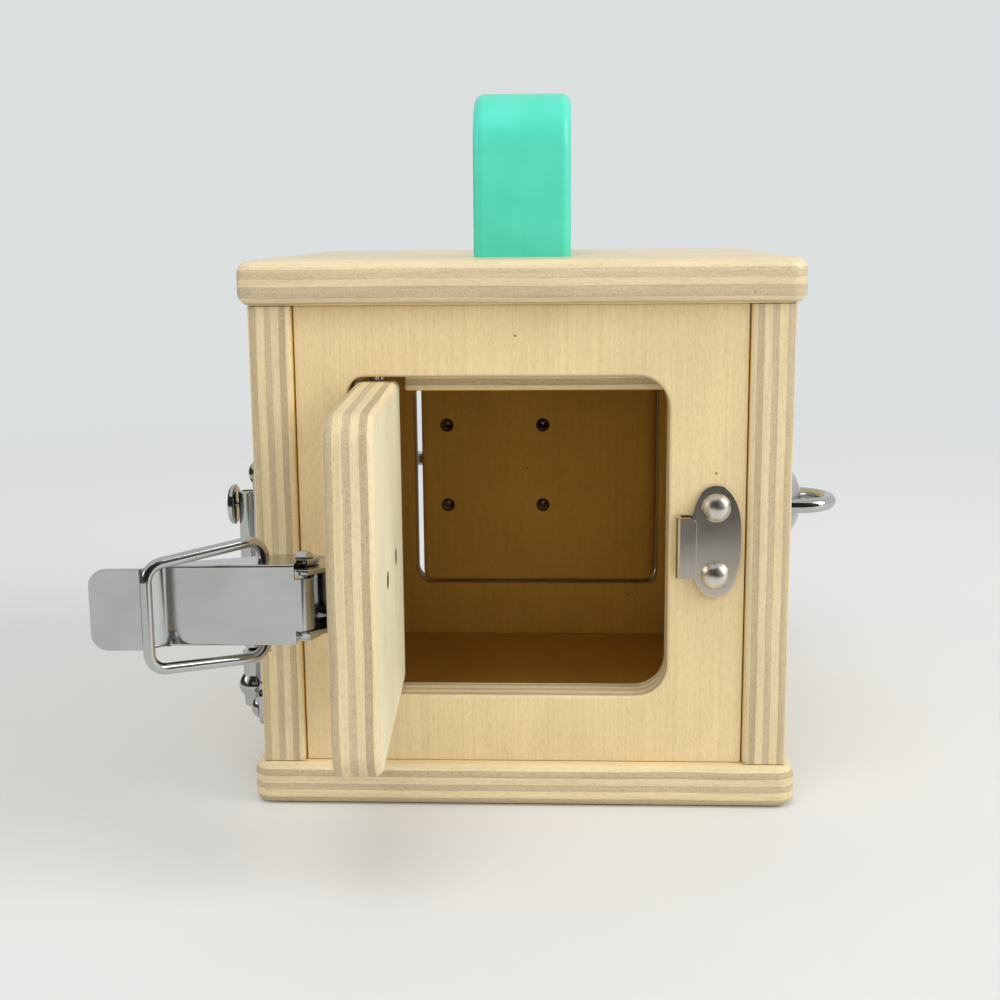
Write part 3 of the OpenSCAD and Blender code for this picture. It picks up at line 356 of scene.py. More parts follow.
def birch_plywood(name, place, axes, tones, skin, seed, surface=SANDED, lines=GLUE_LINES):
    """Birch plywood: pale and matt to silky, with fine long grain, and edges striped by its plies.

    place is the board's middle; axes has the grain as X and the way through the plies as Z.
    """
    rough, gloss, painted_shade = surface
    finish, tree, shader, coords = new_finish(name, {"Roughness": rough, "Specular IOR Level": gloss})
    board = node(tree, "ShaderNodeMapping", {
        "Vector": coords, "Location": Vector(place) * MM, "Rotation": axes.to_euler(),
        "Scale": (MM, MM, MM)}, vector_type="TEXTURE").outputs["Vector"]
    cut = node(tree, "ShaderNodeVectorMath", {0: board, 1: (seed * 37.0, seed * 91.0, 0.0)},
               operation="ADD").outputs["Vector"]

    # The glue lines wander by about 0.2 mm over 25 mm, and not at the faces
    wander = node(tree, "ShaderNodeTexNoise", {"Vector": cut, "Scale": 1 / 25, "Detail": 2.0}).outputs["Fac"]
    through = node(tree, "ShaderNodeSeparateXYZ", {"Vector": board}).outputs["Z"]
    depth = node(tree, "ShaderNodeMapRange", {
        "Value": through, "From Min": -PLY / 2, "From Max": PLY / 2}).outputs["Result"]
    inward = node(tree, "ShaderNodeMapRange", {
        "Value": depth, "From Min": 0.0, "From Max": 0.12, "To Min": 0.0, "To Max": 0.08}).outputs["Result"]
    swing = node(tree, "ShaderNodeMath", {0: wander, 1: 0.5}, operation="SUBTRACT").outputs["Value"]
    level = node(tree, "ShaderNodeMath", {0: swing, 1: inward, 2: depth},
                 operation="MULTIPLY_ADD").outputs["Value"]
    stops = ply_stops(tones, skin, painted_shade, lines)
    colour = node(tree, "ShaderNodeValToRGB", {"Fac": level}, stops=stops).outputs["Color"]

    # Rare pin knots, 0.5 mm across, one in each 11 mm cell
    knot = node(tree, "ShaderNodeTexVoronoi", {"Vector": cut, "Scale": 1 / 11}).outputs["Distance"]
    shades = [(knot, [(0.018, (0.42, 0.33, 0.22, 1.0)), (0.032, grey(1.0))])]
    # Cloudy tone, long grain and short wavy flecks: length, width and thickness in mm, noise and tones
    marks = (
        ((24, 24, 1.2), {"Detail": 2.0},
         [(0.35, (0.94, 0.93, 0.915, 1.0)), (0.65, (1.035, 1.035, 1.03, 1.0))]),
        ((70, 1.1, 1.1), {"Detail": 3.0, "Roughness": 0.6, "Distortion": 0.5},
         [(0.3, grey(0.94)), (0.7, grey(1.04))]),
        ((1.5, 0.3, 0.3), {"Detail": 2.0, "Distortion": 0.8},
         [(0.3, (0.91, 0.89, 0.85, 1.0)), (0.55, grey(1.02))]),
    )
    for mark, noise, stops in marks:
        at = node(tree, "ShaderNodeVectorMath", {0: cut, 1: [1 / side for side in mark]},
                  operation="MULTIPLY").outputs["Vector"]
        fleck = node(tree, "ShaderNodeTexNoise", {"Vector": at, "Scale": 1.0, **noise}).outputs["Fac"]
        shades.append((fleck, stops))
    for factor, stops in shades:
        shade = node(tree, "ShaderNodeValToRGB", {"Fac": factor}, stops=stops).outputs["Color"]
        colour = node(tree, "ShaderNodeMix", {0: 1.0, 6: colour, 7: shade}, data_type="RGBA",
                      blend_type="MULTIPLY").outputs[2]

    # The cross plies show their pores end on, as specks 0.35 mm across
    pores = mottled(tree, cut, 0.35, 2.0, [(0.3, grey(0.8)), (0.5, grey(1.02))])[1]
    bands = [(0.0, grey(0.0))]
    for number, line in enumerate(lines):
        odd = number % 2
        bands += [(line - GLUE_BLUR, grey(float(odd))), (line + GLUE_BLUR, grey(1.0 - odd))]
    crossed = node(tree, "ShaderNodeValToRGB", {"Fac": level}, stops=bands).outputs["Color"]
    colour = node(tree, "ShaderNodeMix", {0: crossed, 6: colour, 7: pores}, data_type="RGBA",
                  blend_type="MULTIPLY").outputs[2]
    # The last marks, the flecks, are felt as well as seen
    coat(tree, shader, colour, fleck, 0.15, 0.05)
    return finish


def scorched_birch():
    """Birch in and round a screw hole, painted dark brown as the shade in the hole, rough and ragged with
    torn fibres
    """
    finish, tree, shader, coords = new_finish("scorched_birch", {
        "Roughness": 0.85, "Specular IOR Level": 0.2})
    # Torn fibres are about 0.4 mm across
    torn, tone = mottled(tree, coords, 0.4 * MM, 2.0, [(0.35, linear("#1E130A")), (0.7, linear("#4A3219"))])
    coat(tree, shader, tone, torn, 0.5, 0.1)
    return finish


# Nickel plate by how it was made: its two tones, its least roughness and the tone of its scratches
NICKEL_PLATES = {
    "polished": ("nickel", "smeared", 0.09, 0.94),
    "worn": ("warm", "dulled", 0.16, 0.8),
    "tumbled": ("tumbled", "scuffed", 0.28, 0.9),
}


def nickel_plate(kind, metal):
    """Nickel-plated steel: bright, with soft smears, fine scratches and a sheet that is not quite flat"""
    light, dull, smooth, scratch = NICKEL_PLATES[kind]
    finish, tree, shader, coords = new_finish(kind + "_nickel_plate", {"Metallic": 1.0})
    # Smears are about 9 mm across
    tones = [(0.35, getattr(metal, light)), (0.75, getattr(metal, dull))]
    smear, tone = mottled(tree, coords, 9 * MM, 3.0, tones)
    # Scratches are about 0.12 mm wide and 8 mm long, and lie askew
    askew = node(tree, "ShaderNodeMapping", {
        "Vector": coords, "Rotation": (math.radians(35), math.radians(25), math.radians(30)),
        "Scale": (1 / (8 * MM), 1 / (0.12 * MM), 1 / (0.12 * MM))}).outputs["Vector"]
    worn = mottled(tree, askew, 1.0, 1.0, [(0.64, grey(1.0)), (0.72, grey(scratch))])[1]
    tone = node(tree, "ShaderNodeMix", {0: 1.0, 6: tone, 7: worn}, data_type="RGBA",
                blend_type="MULTIPLY").outputs[2]
    rough = node(tree, "ShaderNodeMapRange", {
        "Value": smear, "From Min": 0.3, "From Max": 0.7, "To Min": smooth,
        "To Max": smooth + 0.07}).outputs["Result"]
    tree.links.new(rough, shader.inputs["Roughness"])
    # Waves of the pressed sheet are about 10 mm apart
    wave = node(tree, "ShaderNodeTexNoise", {
        "Vector": coords, "Scale": 1 / (10 * MM), "Detail": 1.0}).outputs["Fac"]
    coat(tree, shader, tone, wave, 0.15, 0.1)
    return finish


def mint_polypropylene(handle):
    """Injection-moulded polypropylene: waxy gloss, light that soaks in a little, a faint orange peel"""
    finish, tree, shader, coords = new_finish("mint_polypropylene", {
        "Roughness": 0.34, "IOR": 1.49, "Subsurface Weight": 0.1, "Subsurface Radius": (1.0, 1.6, 1.4),
        "Subsurface Scale": 1.2 * MM})
    # Flow marks are 9 mm across and the peel 0.8 mm
    tone = mottled(tree, coords, 9 * MM, 2.0, [(0.35, handle.deep_mint), (0.65, handle.mint)])[1]
    peel = node(tree, "ShaderNodeTexNoise", {
        "Vector": coords, "Scale": 1 / (0.8 * MM), "Detail": 1.0}).outputs["Fac"]
    coat(tree, shader, tone, peel, 0.08, 0.03)
    return finish


def finish_named(name, make, *settings):
    """The named finish, made the first time that it is asked for"""
    return bpy.data.materials.get(name) or make(*settings)


# Shapes, all in millimetres

def eased(shape, width, steps=3, where=None):
    """Rounds the edges where faces meet at more than 35 degrees, if their middle is in the wanted place"""
    edges = []
    for edge in shape.edges:
        if len(edge.link_faces) == 2 and edge.calc_face_angle() > math.radians(35):
            if where is None or where((edge.verts[0].co + edge.verts[1].co) / 2):
                edges.append(edge)
    if edges and width > 0:
        bmesh.ops.bevel(shape, geom=edges, offset=width, offset_type="OFFSET", segments=steps, profile=0.5,
                        affect="EDGES", material=-1, clamp_overlap=True)
    return shape


def placed(shape, place):
    bmesh.ops.transform(shape, matrix=place, verts=shape.verts)
    return shape


def lifted(shape, height):
    """Thickens the flat faces of a shape upward"""
    grown = bmesh.ops.extrude_face_region(shape, geom=shape.faces[:])["geom"]
    verts = [part for part in grown if isinstance(part, bmesh.types.BMVert)]
    bmesh.ops.translate(shape, vec=(0, 0, height), verts=verts)
    bmesh.ops.recalc_face_normals(shape, faces=shape.faces)
    return shape


def joined(*shapes):
    """Puts several shapes into the first one"""
    for shape in shapes[1:]:
        mesh = bpy.data.meshes.new("joined")
        shape.to_mesh(mesh)
        shape.free()
        shapes[0].from_mesh(mesh)
        bpy.data.meshes.remove(mesh)
    return shapes[0]


def carved(shape, tool, operation="DIFFERENCE"):
    """Cuts a shape with another one, or merges the two"""
    solids = []
    for part in (shape, tool):
        bmesh.ops.recalc_face_normals(part, faces=part.faces)
        mesh = bpy.data.meshes.new("carved")
        part.to_mesh(mesh)
        part.free()
        solid = bpy.data.objects.new("carved", mesh)
        bpy.context.scene.collection.objects.link(solid)
        solids.append(solid)
    cut = solids[0].modifiers.new("cut", "BOOLEAN")
    cut.object = solids[1]
    cut.operation = operation
    cut.solver = "EXACT"
    result = bmesh.new()
    result.from_object(solids[0], bpy.context.evaluated_depsgraph_get())
    for solid in solids:
        mesh = solid.data
        bpy.data.objects.remove(solid)
        bpy.data.meshes.remove(mesh)
    return result


def arc(x, y, radius, start, end, steps=6):
    """Points on an arc, with angles in degrees"""
    angles = [math.radians(start + (end - start) * i / steps) for i in range(steps + 1)]
    return [(x + radius * math.cos(a), y + radius * math.sin(a)) for a in angles]


def rounded_outline(width, height, corner, left_corner=None, steps=8):
    """Flat rectangle with round corners about the origin"""
    shape = bmesh.new()
    made = bmesh.ops.create_grid(shape, x_segments=1, y_segments=1, size=0.5)
    bmesh.ops.scale(shape, vec=(width, height, 1), verts=made["verts"])
    for side, radius in ((1, corner), (-1, left_corner or corner)):
        bmesh.ops.bevel(shape, geom=[vert for vert in shape.verts if abs(vert.co.x - side * width / 2) < 1e-4
                                     and abs(abs(vert.co.y) - height / 2) < 1e-4],
                        offset=radius, offset_type="OFFSET", segments=steps, profile=0.5, affect="VERTICES",
                        material=-1)
    return shape


def plate(width, height, thickness, corner, ease=0.25, steps=3, left_corner=None):
    """Plate with round corners, standing on z = 0"""
    return eased(lifted(rounded_outline(width, height, corner, left_corner), thickness), ease, steps)


def outline_plate(points, thickness, ease=0.25, steps=3):
    """Plate with any outline, from z = 0 upward"""
    shape = bmesh.new()
    shape.faces.new([shape.verts.new((x, y, 0)) for x, y in points])
    return eased(lifted(shape, thickness), ease, steps)


def framed_plate(width, height, thickness, opening):
    """Board from z = 0 upward, with an opening through it"""
    shape = bmesh.new()
    bmesh.ops.create_grid(shape, x_segments=1, y_segments=1, size=0.5)
    bmesh.ops.scale(shape, vec=(width, height, 1), verts=shape.verts)
    joined(shape, opening)
    bmesh.ops.delete(shape, geom=shape.faces[:], context="FACES_ONLY")
    bmesh.ops.triangle_fill(shape, use_beauty=True, use_dissolve=False, edges=shape.edges[:],
                            normal=(0, 0, 1))
    return lifted(shape, thickness)


def block(low, high, ease=0.25, steps=3):
    """Box between two corners"""
    shape = bmesh.new()
    low, high = Vector(low), Vector(high)
    made = bmesh.ops.create_cube(shape, size=1.0)
    bmesh.ops.scale(shape, vec=high - low, verts=made["verts"])
    bmesh.ops.translate(shape, vec=(low + high) / 2, verts=made["verts"])
    return eased(shape, ease, steps)


def turned(profile, closed=False, steps=40):
    """Turns a profile of (radius, height) points about the Z axis"""
    shape = bmesh.new()
    verts = [shape.verts.new((radius, 0, height)) for radius, height in profile]
    pairs = list(zip(verts, verts[1:])) + ([(verts[-1], verts[0])] if closed else [])
    edges = [shape.edges.new(pair) for pair in pairs]
    bmesh.ops.spin(shape, geom=verts + edges, cent=(0, 0, 0), axis=(0, 0, 1), angle=math.tau, steps=steps,
                   use_merge=True)
    bmesh.ops.remove_doubles(shape, verts=shape.verts, dist=1e-4)
    bmesh.ops.recalc_face_normals(shape, faces=shape.faces)
    return shape


def dome_profile(diameter, height, foot=0.0, steps=8):
    """Round cap of a sphere, from its rim on the foot to its top"""
    radius = (diameter ** 2 / 4 + height ** 2) / (2 * height)
    rim = math.degrees(math.asin((radius - height) / radius))
    return arc(0, foot + height - radius, radius, rim, 90, steps)


def dome_screw(sheet, depth, head, metal):
    """Dome-head screw with a point, with its head on a sheet that lies on z = 0"""
    radius = metal.shank / 2
    return turned([(0, -depth), (radius, 2 - depth), (radius, sheet), (head / 2 - 0.15, sheet)]
                  + dome_profile(head, metal.head_height, sheet + 0.1))


def rod(diameter, low, high, chamfer=0.3):
    """Round rod along Z with eased ends"""
    radius = diameter / 2
    return turned([(0, low), (radius - chamfer, low), (radius, low + chamfer),
                   (radius, high - chamfer), (radius - chamfer, high), (0, high)])


def tube(inner, outer, low, high, chamfer=0.25):
    """Round tube along Z with eased outer rims"""
    return turned([(inner, low), (outer - chamfer, low), (outer, low + chamfer),
                   (outer, high - chamfer), (outer - chamfer, high), (inner, high)], closed=True)


def swept(section, moves):
    """Sweeps a section, drawn in Y and Z, along runs and bends that start at the origin along +X.

    A move is a length, or a radius and an angle, with a left turn positive.
    """
    shape = bmesh.new()
    ring = [shape.verts.new((0, y, z)) for y, z in section]
    end = [shape.edges.new(pair) for pair in zip(ring, ring[1:] + ring[:1])]
    at = Matrix()
    for move in moves:
        if isinstance(move, tuple):
            radius, angle = move
            centre = at @ Vector((0, math.copysign(radius, angle), 0))
            verts = list({vert for edge in end for vert in edge.verts})
            steps = max(4, round(abs(angle) / 8))
            grown = bmesh.ops.spin(shape, geom=verts + end, cent=centre, axis=(0, 0, 1),
                                   angle=math.radians(angle), steps=steps)["geom_last"]
            at = Matrix.Translation(centre) @ turn(angle, "Z") @ Matrix.Translation(-centre) @ at
        else:
            step = at.to_3x3() @ Vector((move, 0, 0))
            grown = bmesh.ops.extrude_edge_only(shape, edges=end)["geom"]
            verts = [part for part in grown if isinstance(part, bmesh.types.BMVert)]
            bmesh.ops.translate(shape, vec=step, verts=verts)
            at = Matrix.Translation(step) @ at
        end = [part for part in grown if isinstance(part, bmesh.types.BMEdge) and len(part.link_faces) == 1]
    bmesh.ops.holes_fill(shape, edges=[edge for edge in shape.edges if edge.is_boundary])
    bmesh.ops.recalc_face_normals(shape, faces=shape.faces)
    return shape


def wire(diameter, moves, steps=18):
    """Round wire along runs and bends, with eased ends"""
    section = arc(0, 0, diameter / 2, 0, 360 - 360 / steps, steps - 1)
    return eased(swept(section, moves), diameter / 8, 2)


# Pieces

def piece(name, shape, body, nodes, finishes):
    """Makes a finished piece of a shape, on its body, in place of its CAD nodes"""
    bmesh.ops.scale(shape, vec=(MM, MM, MM), verts=shape.verts)
    bmesh.ops.recalc_face_normals(shape, faces=shape.faces)
    mesh = bpy.data.meshes.new(name)
    shape.to_mesh(mesh)
    shape.free()
    for finish in finishes:
        mesh.materials.append(finish)
    mesh.shade_smooth()
    mesh.set_sharp_from_angle(angle=math.radians(40))
    made = bpy.data.objects.new(name, mesh)
    bpy.context.scene.collection.objects.link(made)
    made.modifiers.new("even_shading", "WEIGHTED_NORMAL").keep_sharp = True
    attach(made, body)
    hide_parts(*nodes)
    return made


# Ways that a board lies: grain along X, plies along Z, and the outer face at the far end of Z
LYING = Matrix.Rotation(math.pi, 3, "X")
UPWARD = Matrix.Identity(3)
FACING_FRONT = Matrix(((0, -1, 0), (0, 0, -1), (1, 0, 0)))
FACING_BACK = Matrix.Rotation(math.pi, 3, "Z") @ FACING_FRONT
FACING_LEFT = Matrix.Rotation(-math.pi / 2, 3, "Z") @ FACING_FRONT
FACING_RIGHT = Matrix.Rotation(math.pi / 2, 3, "Z") @ FACING_FRONT
LYING_ALONG_Y = Matrix.Rotation(math.pi / 2, 3, "Z")


def wood_piece(name, shape, body, nodes, axes, seed, wood, place=None, skin=None, plies=PLIES,
               surface=SANDED, lines=GLUE_LINES, others=()):
    """A plywood piece with its own cut of the veneer, and the finishes of its faces that differ"""
    tones = [getattr(wood, ply) for ply in plies]
    # Unless another skin is given, the inner face gets the painted shade of the inner veneer
    board = birch_plywood("birch_plywood_" + name, place or middle(nodes[0]), axes, tones,
                          skin or wood.painted_shade_veneer, seed, surface, lines)
    return piece(name, shape, body, nodes, [board, *others])


def nickel_named(kind, metal):
    """The nickel plate of a kind, made once"""
    return finish_named(kind + "_nickel_plate", nickel_plate, kind, metal)


def nickel_piece(name, shape, body, nodes, metal, kind="polished"):
    """A nickel-plated piece"""
    return piece(name, shape, body, nodes, [nickel_named(kind, metal)])


def screw_piece(name, body, nodes, metal, sheet, depth, heads, kind="tumbled"):
    """A set of dome screws, from the diameter and place of each head"""
    screws = [placed(dome_screw(sheet, depth, head, metal), place) for head, place in heads]
    return nickel_piece(name, joined(*screws), body, nodes, metal, kind)


def sliced(shape, point, direction):
    """Cuts all faces along a plane and keeps both sides"""
    bmesh.ops.bisect_plane(shape, geom=shape.verts[:] + shape.edges[:] + shape.faces[:], plane_co=point,
                           plane_no=direction)


class LOCKBOX_OT_boards(bpy.types.Operator):
    """Lid, base, the four walls with their openings and the door stops"""

    bl_idname = "lockbox.boards"
    bl_label = "Boards"

    def flat_board(self, name, wood, seed, **looks):
        whole = size(name)
        shape = plate(whole.x, whole.y, whole.z, wood.board_corner, wood.board_ease, 6)
        placed(shape, shift(0, 0, corners(name)[0].z))
        self.mark_inside(shape)
        # Faces inside the box are painted shade: every ply in the inner veneer's deep amber
        inside = birch_plywood("birch_plywood_inside_" + name, middle(name), LYING, [wood.painted_shade_veneer] * 7,
                               wood.painted_shade_veneer, seed, BARE)
        wood_piece(name + "_board", shape, "case", [name], LYING, seed, wood, skin=wood.veneer,
                   others=[inside], **looks)

    def mark_inside(self, shape):
        """Cuts the faces along the walls' inner sides and gives those within the second finish, the painted
        shade of the box's inside
        """
        within = corners("right_panel")[0].x, corners("back_panel")[0].y
        low, high = corners("front_panel")[0].z, corners("front_panel")[1].z
        for side in (-1, 1):
            sliced(shape, (side * within[0], 0, 0), (1, 0, 0))
            sliced(shape, (0, side * within[1], 0), (0, 1, 0))
        for face in shape.faces:
            spot = face.calc_center_median()
            level = min(abs(spot.z - low), abs(spot.z - high)) < 0.1
            face.material_index = int(level and abs(spot.x) < within[0] and abs(spot.y) < within[1])

    def wall(self, name, wall, width, ease, axes, seed, wood, extra=0.0, corner=None, hinge_corner=None,
             surface=SANDED):
        height = size(name).z
        centre = seen_from(wall, name)
        open_width = wood.open_width + extra
        opening = rounded_outline(open_width, wood.open_height, corner or wood.open_corner,
                                  hinge_corner or wood.hinge_corner)
        placed(opening, shift(open_width / 2 - wood.pin_inset - centre.x, 0))
        shape = framed_plate(width, height, PLY, opening)
        eased(shape, wood.joint_ease, 2, lambda spot: abs(spot.y) > height / 2 - 0.1)
        eased(shape, ease, 4, lambda spot: abs(spot.x) > width / 2 - 0.1 and abs(spot.y) < height / 2 - 1)
        eased(shape, wood.open_ease, 3,
              lambda spot: abs(spot.x) < width / 2 - 3 and abs(spot.y) < height / 2 - 3)
        placed(shape, on_face(wall, centre.x, centre.z) @ shift(0, 0, -PLY))
        # The wall's inner face gets the inner veneer's painted shade
        wood_piece(name + "_board", shape, "case", [name], axes, seed, wood, surface=surface)

    def execute(self, context):
        wood = Settings(context.scene.lock_box_wood)
        self.flat_board("lid", wood, 1, plies=LID_PLIES, surface=SEALED, lines=LID_GLUE_LINES)
        self.flat_board("base", wood, 2)
        panel = size("front_panel").x - 2 * wood.panel_gap
        side = size("left_panel").y
        self.wall("front_panel", FRONT_WALL, panel, wood.panel_ease, FACING_FRONT, 3, wood)
        # The back panel's painted shade runs deep into the edges of its opening
        self.wall("back_panel", BACK_WALL, panel, wood.panel_ease, FACING_BACK, 4, wood, wood.back_extra,
                  wood.back_open_corner, wood.back_open_hinge, PAINTED_SHADE_DEEP)
        self.wall("left_panel", LEFT_WALL, side, wood.wall_ease, FACING_LEFT, 5, wood)
        self.wall("right_panel", RIGHT_WALL, side, wood.wall_ease, FACING_RIGHT, 6, wood)
        stops = (("front_stop", UPWARD), ("back_stop", UPWARD), ("left_stop", LYING_ALONG_Y),
                 ("right_stop", LYING_ALONG_Y))
        for seed, (name, axes) in enumerate(stops, 7):
            shape = block(*corners(name), wood.stop_ease)
            # A batten's inner face gets painted shade as well
            wood_piece(name + "_batten", shape, "case", [name], axes, seed, wood, surface=BARE)
        return {"FINISHED"}


def latch_screw_spots(metal):
    """Places of the latch base's screws along the front door"""
    return [(LEVER_PIVOT.x - along, LEVER_PIVOT.z) for along in (metal.near_screw, metal.far_screw)]


def bolt_screw_spots(metal):
    """Places of the back bolt's screws along the back door"""
    return [(BOLT.x + sx * metal.bolt_screw_along / 2, BOLT.z + sz * metal.bolt_screw_across / 2)
            for sx in (-1, 1) for sz in (-1, 1)]


class LOCKBOX_OT_doors(bpy.types.Operator):
    """Four doors with round hinge edges, and the holes that the lock screws come through"""

    bl_idname = "lockbox.doors"
    bl_label = "Doors"

    def round_hinge_edge(self, shape, width, thick, radius):
        """Draws the hinge edge in to a round"""
        for share in (0.03, 0.1, 0.2, 0.33, 0.5, 0.7, 0.9, 1.0):
            sliced(shape, (share * radius - width / 2, 0, 0), (1, 0, 0))
        for vert in shape.verts:
            inset = vert.co.x + width / 2
            if inset < radius:
                reach = thick / 2 - radius + math.sqrt(max(radius ** 2 - (radius - inset) ** 2, 0))
                vert.co.z = thick / 2 + max(-reach, min(reach, vert.co.z - thick / 2))

    def door(self, name, wall, screws, axes, seed, wood, metal, corner=None, hinge_corner=None, drop=0.0,
             **looks):
        whole = size("back_door")
        thick, width = whole.y, whole.x + wood.hinge_reach
        middle_u = seen_from(BACK_WALL, "back_door").x - wood.hinge_reach / 2
        middle_z = middle("back_door").z - drop / 2
        shape = plate(width, whole.z + drop, thick, corner or wood.door_corner, wood.door_ease, 5,
                      hinge_corner or wood.door_corner)
        self.round_hinge_edge(shape, width, thick, wood.hinge_ease)
        radius = metal.shank / 2 + 0.05
        rim = radius + wood.hole_ease
        for u, z in screws:
            hole = turned([(0, -1), (rim, -1), (rim, 0), (radius, wood.hole_ease), (radius, thick + 1),
                           (0, thick + 1)])
            shape = carved(shape, placed(hole, shift(u - middle_u, z - middle_z)))
        # Faces in and round each hole get the second finish, painted shade
        for face in shape.faces:
            spot = face.calc_center_median()
            near = [math.hypot(spot.x - u + middle_u, spot.y - z + middle_z) < rim for u, z in screws]
            face.material_index = int(any(near) and face.calc_area() < rim)
        place = on_face(wall, middle_u, middle_z) @ shift(0, 0, -thick)
        placed(shape, place)
        wood_piece(name + "_board", shape, name, [name], axes, seed, wood, place @ Vector((0, 0, thick / 2)),
                   others=[finish_named("scorched_birch", scorched_birch)] if screws else [], **looks)

    def execute(self, context):
        wood = Settings(context.scene.lock_box_wood)
        metal = Settings(context.scene.lock_box_metal)
        facing = Matrix.Rotation(math.radians(-DOOR_ANGLE), 3, "Z") @ FACING_FRONT
        self.door("front_door", FRONT_DOOR, latch_screw_spots(metal), facing, 11, wood, metal,
                  skin=wood.pale_veneer)
        # The back door's painted shade runs deep into its edges
        self.door("back_door", BACK_WALL, bolt_screw_spots(metal), FACING_BACK, 12, wood, metal,
                  wood.back_door_corner, wood.back_hinge_corner, wood.back_drop, surface=PAINTED_SHADE_DEEP)
        # The side doors' inner faces get the honey veneer's lighter painted shade
        self.door("left_door", LEFT_WALL, [], FACING_LEFT, 13, wood, metal, skin=wood.honey_shade_veneer)
        self.door("right_door", RIGHT_WALL, [], FACING_RIGHT, 14, wood, metal, skin=wood.honey_shade_veneer)
        return {"FINISHED"}


class LOCKBOX_OT_handle(bpy.types.Operator):
    """Moulded strap handle with round shoulders and a fine mould line along its outside"""

    bl_idname = "lockbox.handle"
    bl_label = "Handle"

    def execute(self, context):
        handle = Settings(context.scene.lock_box_handle)
        whole = size("handle")
        low, high = corners("handle")
        half_t, half_w, edge = handle.strap / 2, whole.x / 2, handle.edge
        section = []
        for y, z, start in ((1, 1, 0), (-1, 1, 90), (-1, -1, 180), (1, -1, 270)):
            section += arc(y * (half_t - edge), z * (half_w - edge), edge, start, start + 90)
            if (y, z) == (-1, 1):
                section += [(-half_t, 0.3), (0.05 - half_t, 0.1), (0.05 - half_t, -0.1), (-half_t, -0.3)]
        leg = whole.z - handle.shoulder
        bend = handle.shoulder - half_t
        shape = swept(section, [leg, (bend, 90), whole.y - 2 * handle.shoulder, (bend, 90), leg])
        # The sweep's X goes up, its left goes to the front
        upright = Matrix(((0, 0, 1, 0), (0, -1, 0, high.y - half_t), (1, 0, 0, low.z), (0, 0, 0, 1)))
        finish = finish_named("mint_polypropylene", mint_polypropylene, handle)
        piece("carrying_handle", placed(shape, upright), "case", ["handle"], [finish])
        return {"FINISHED"}


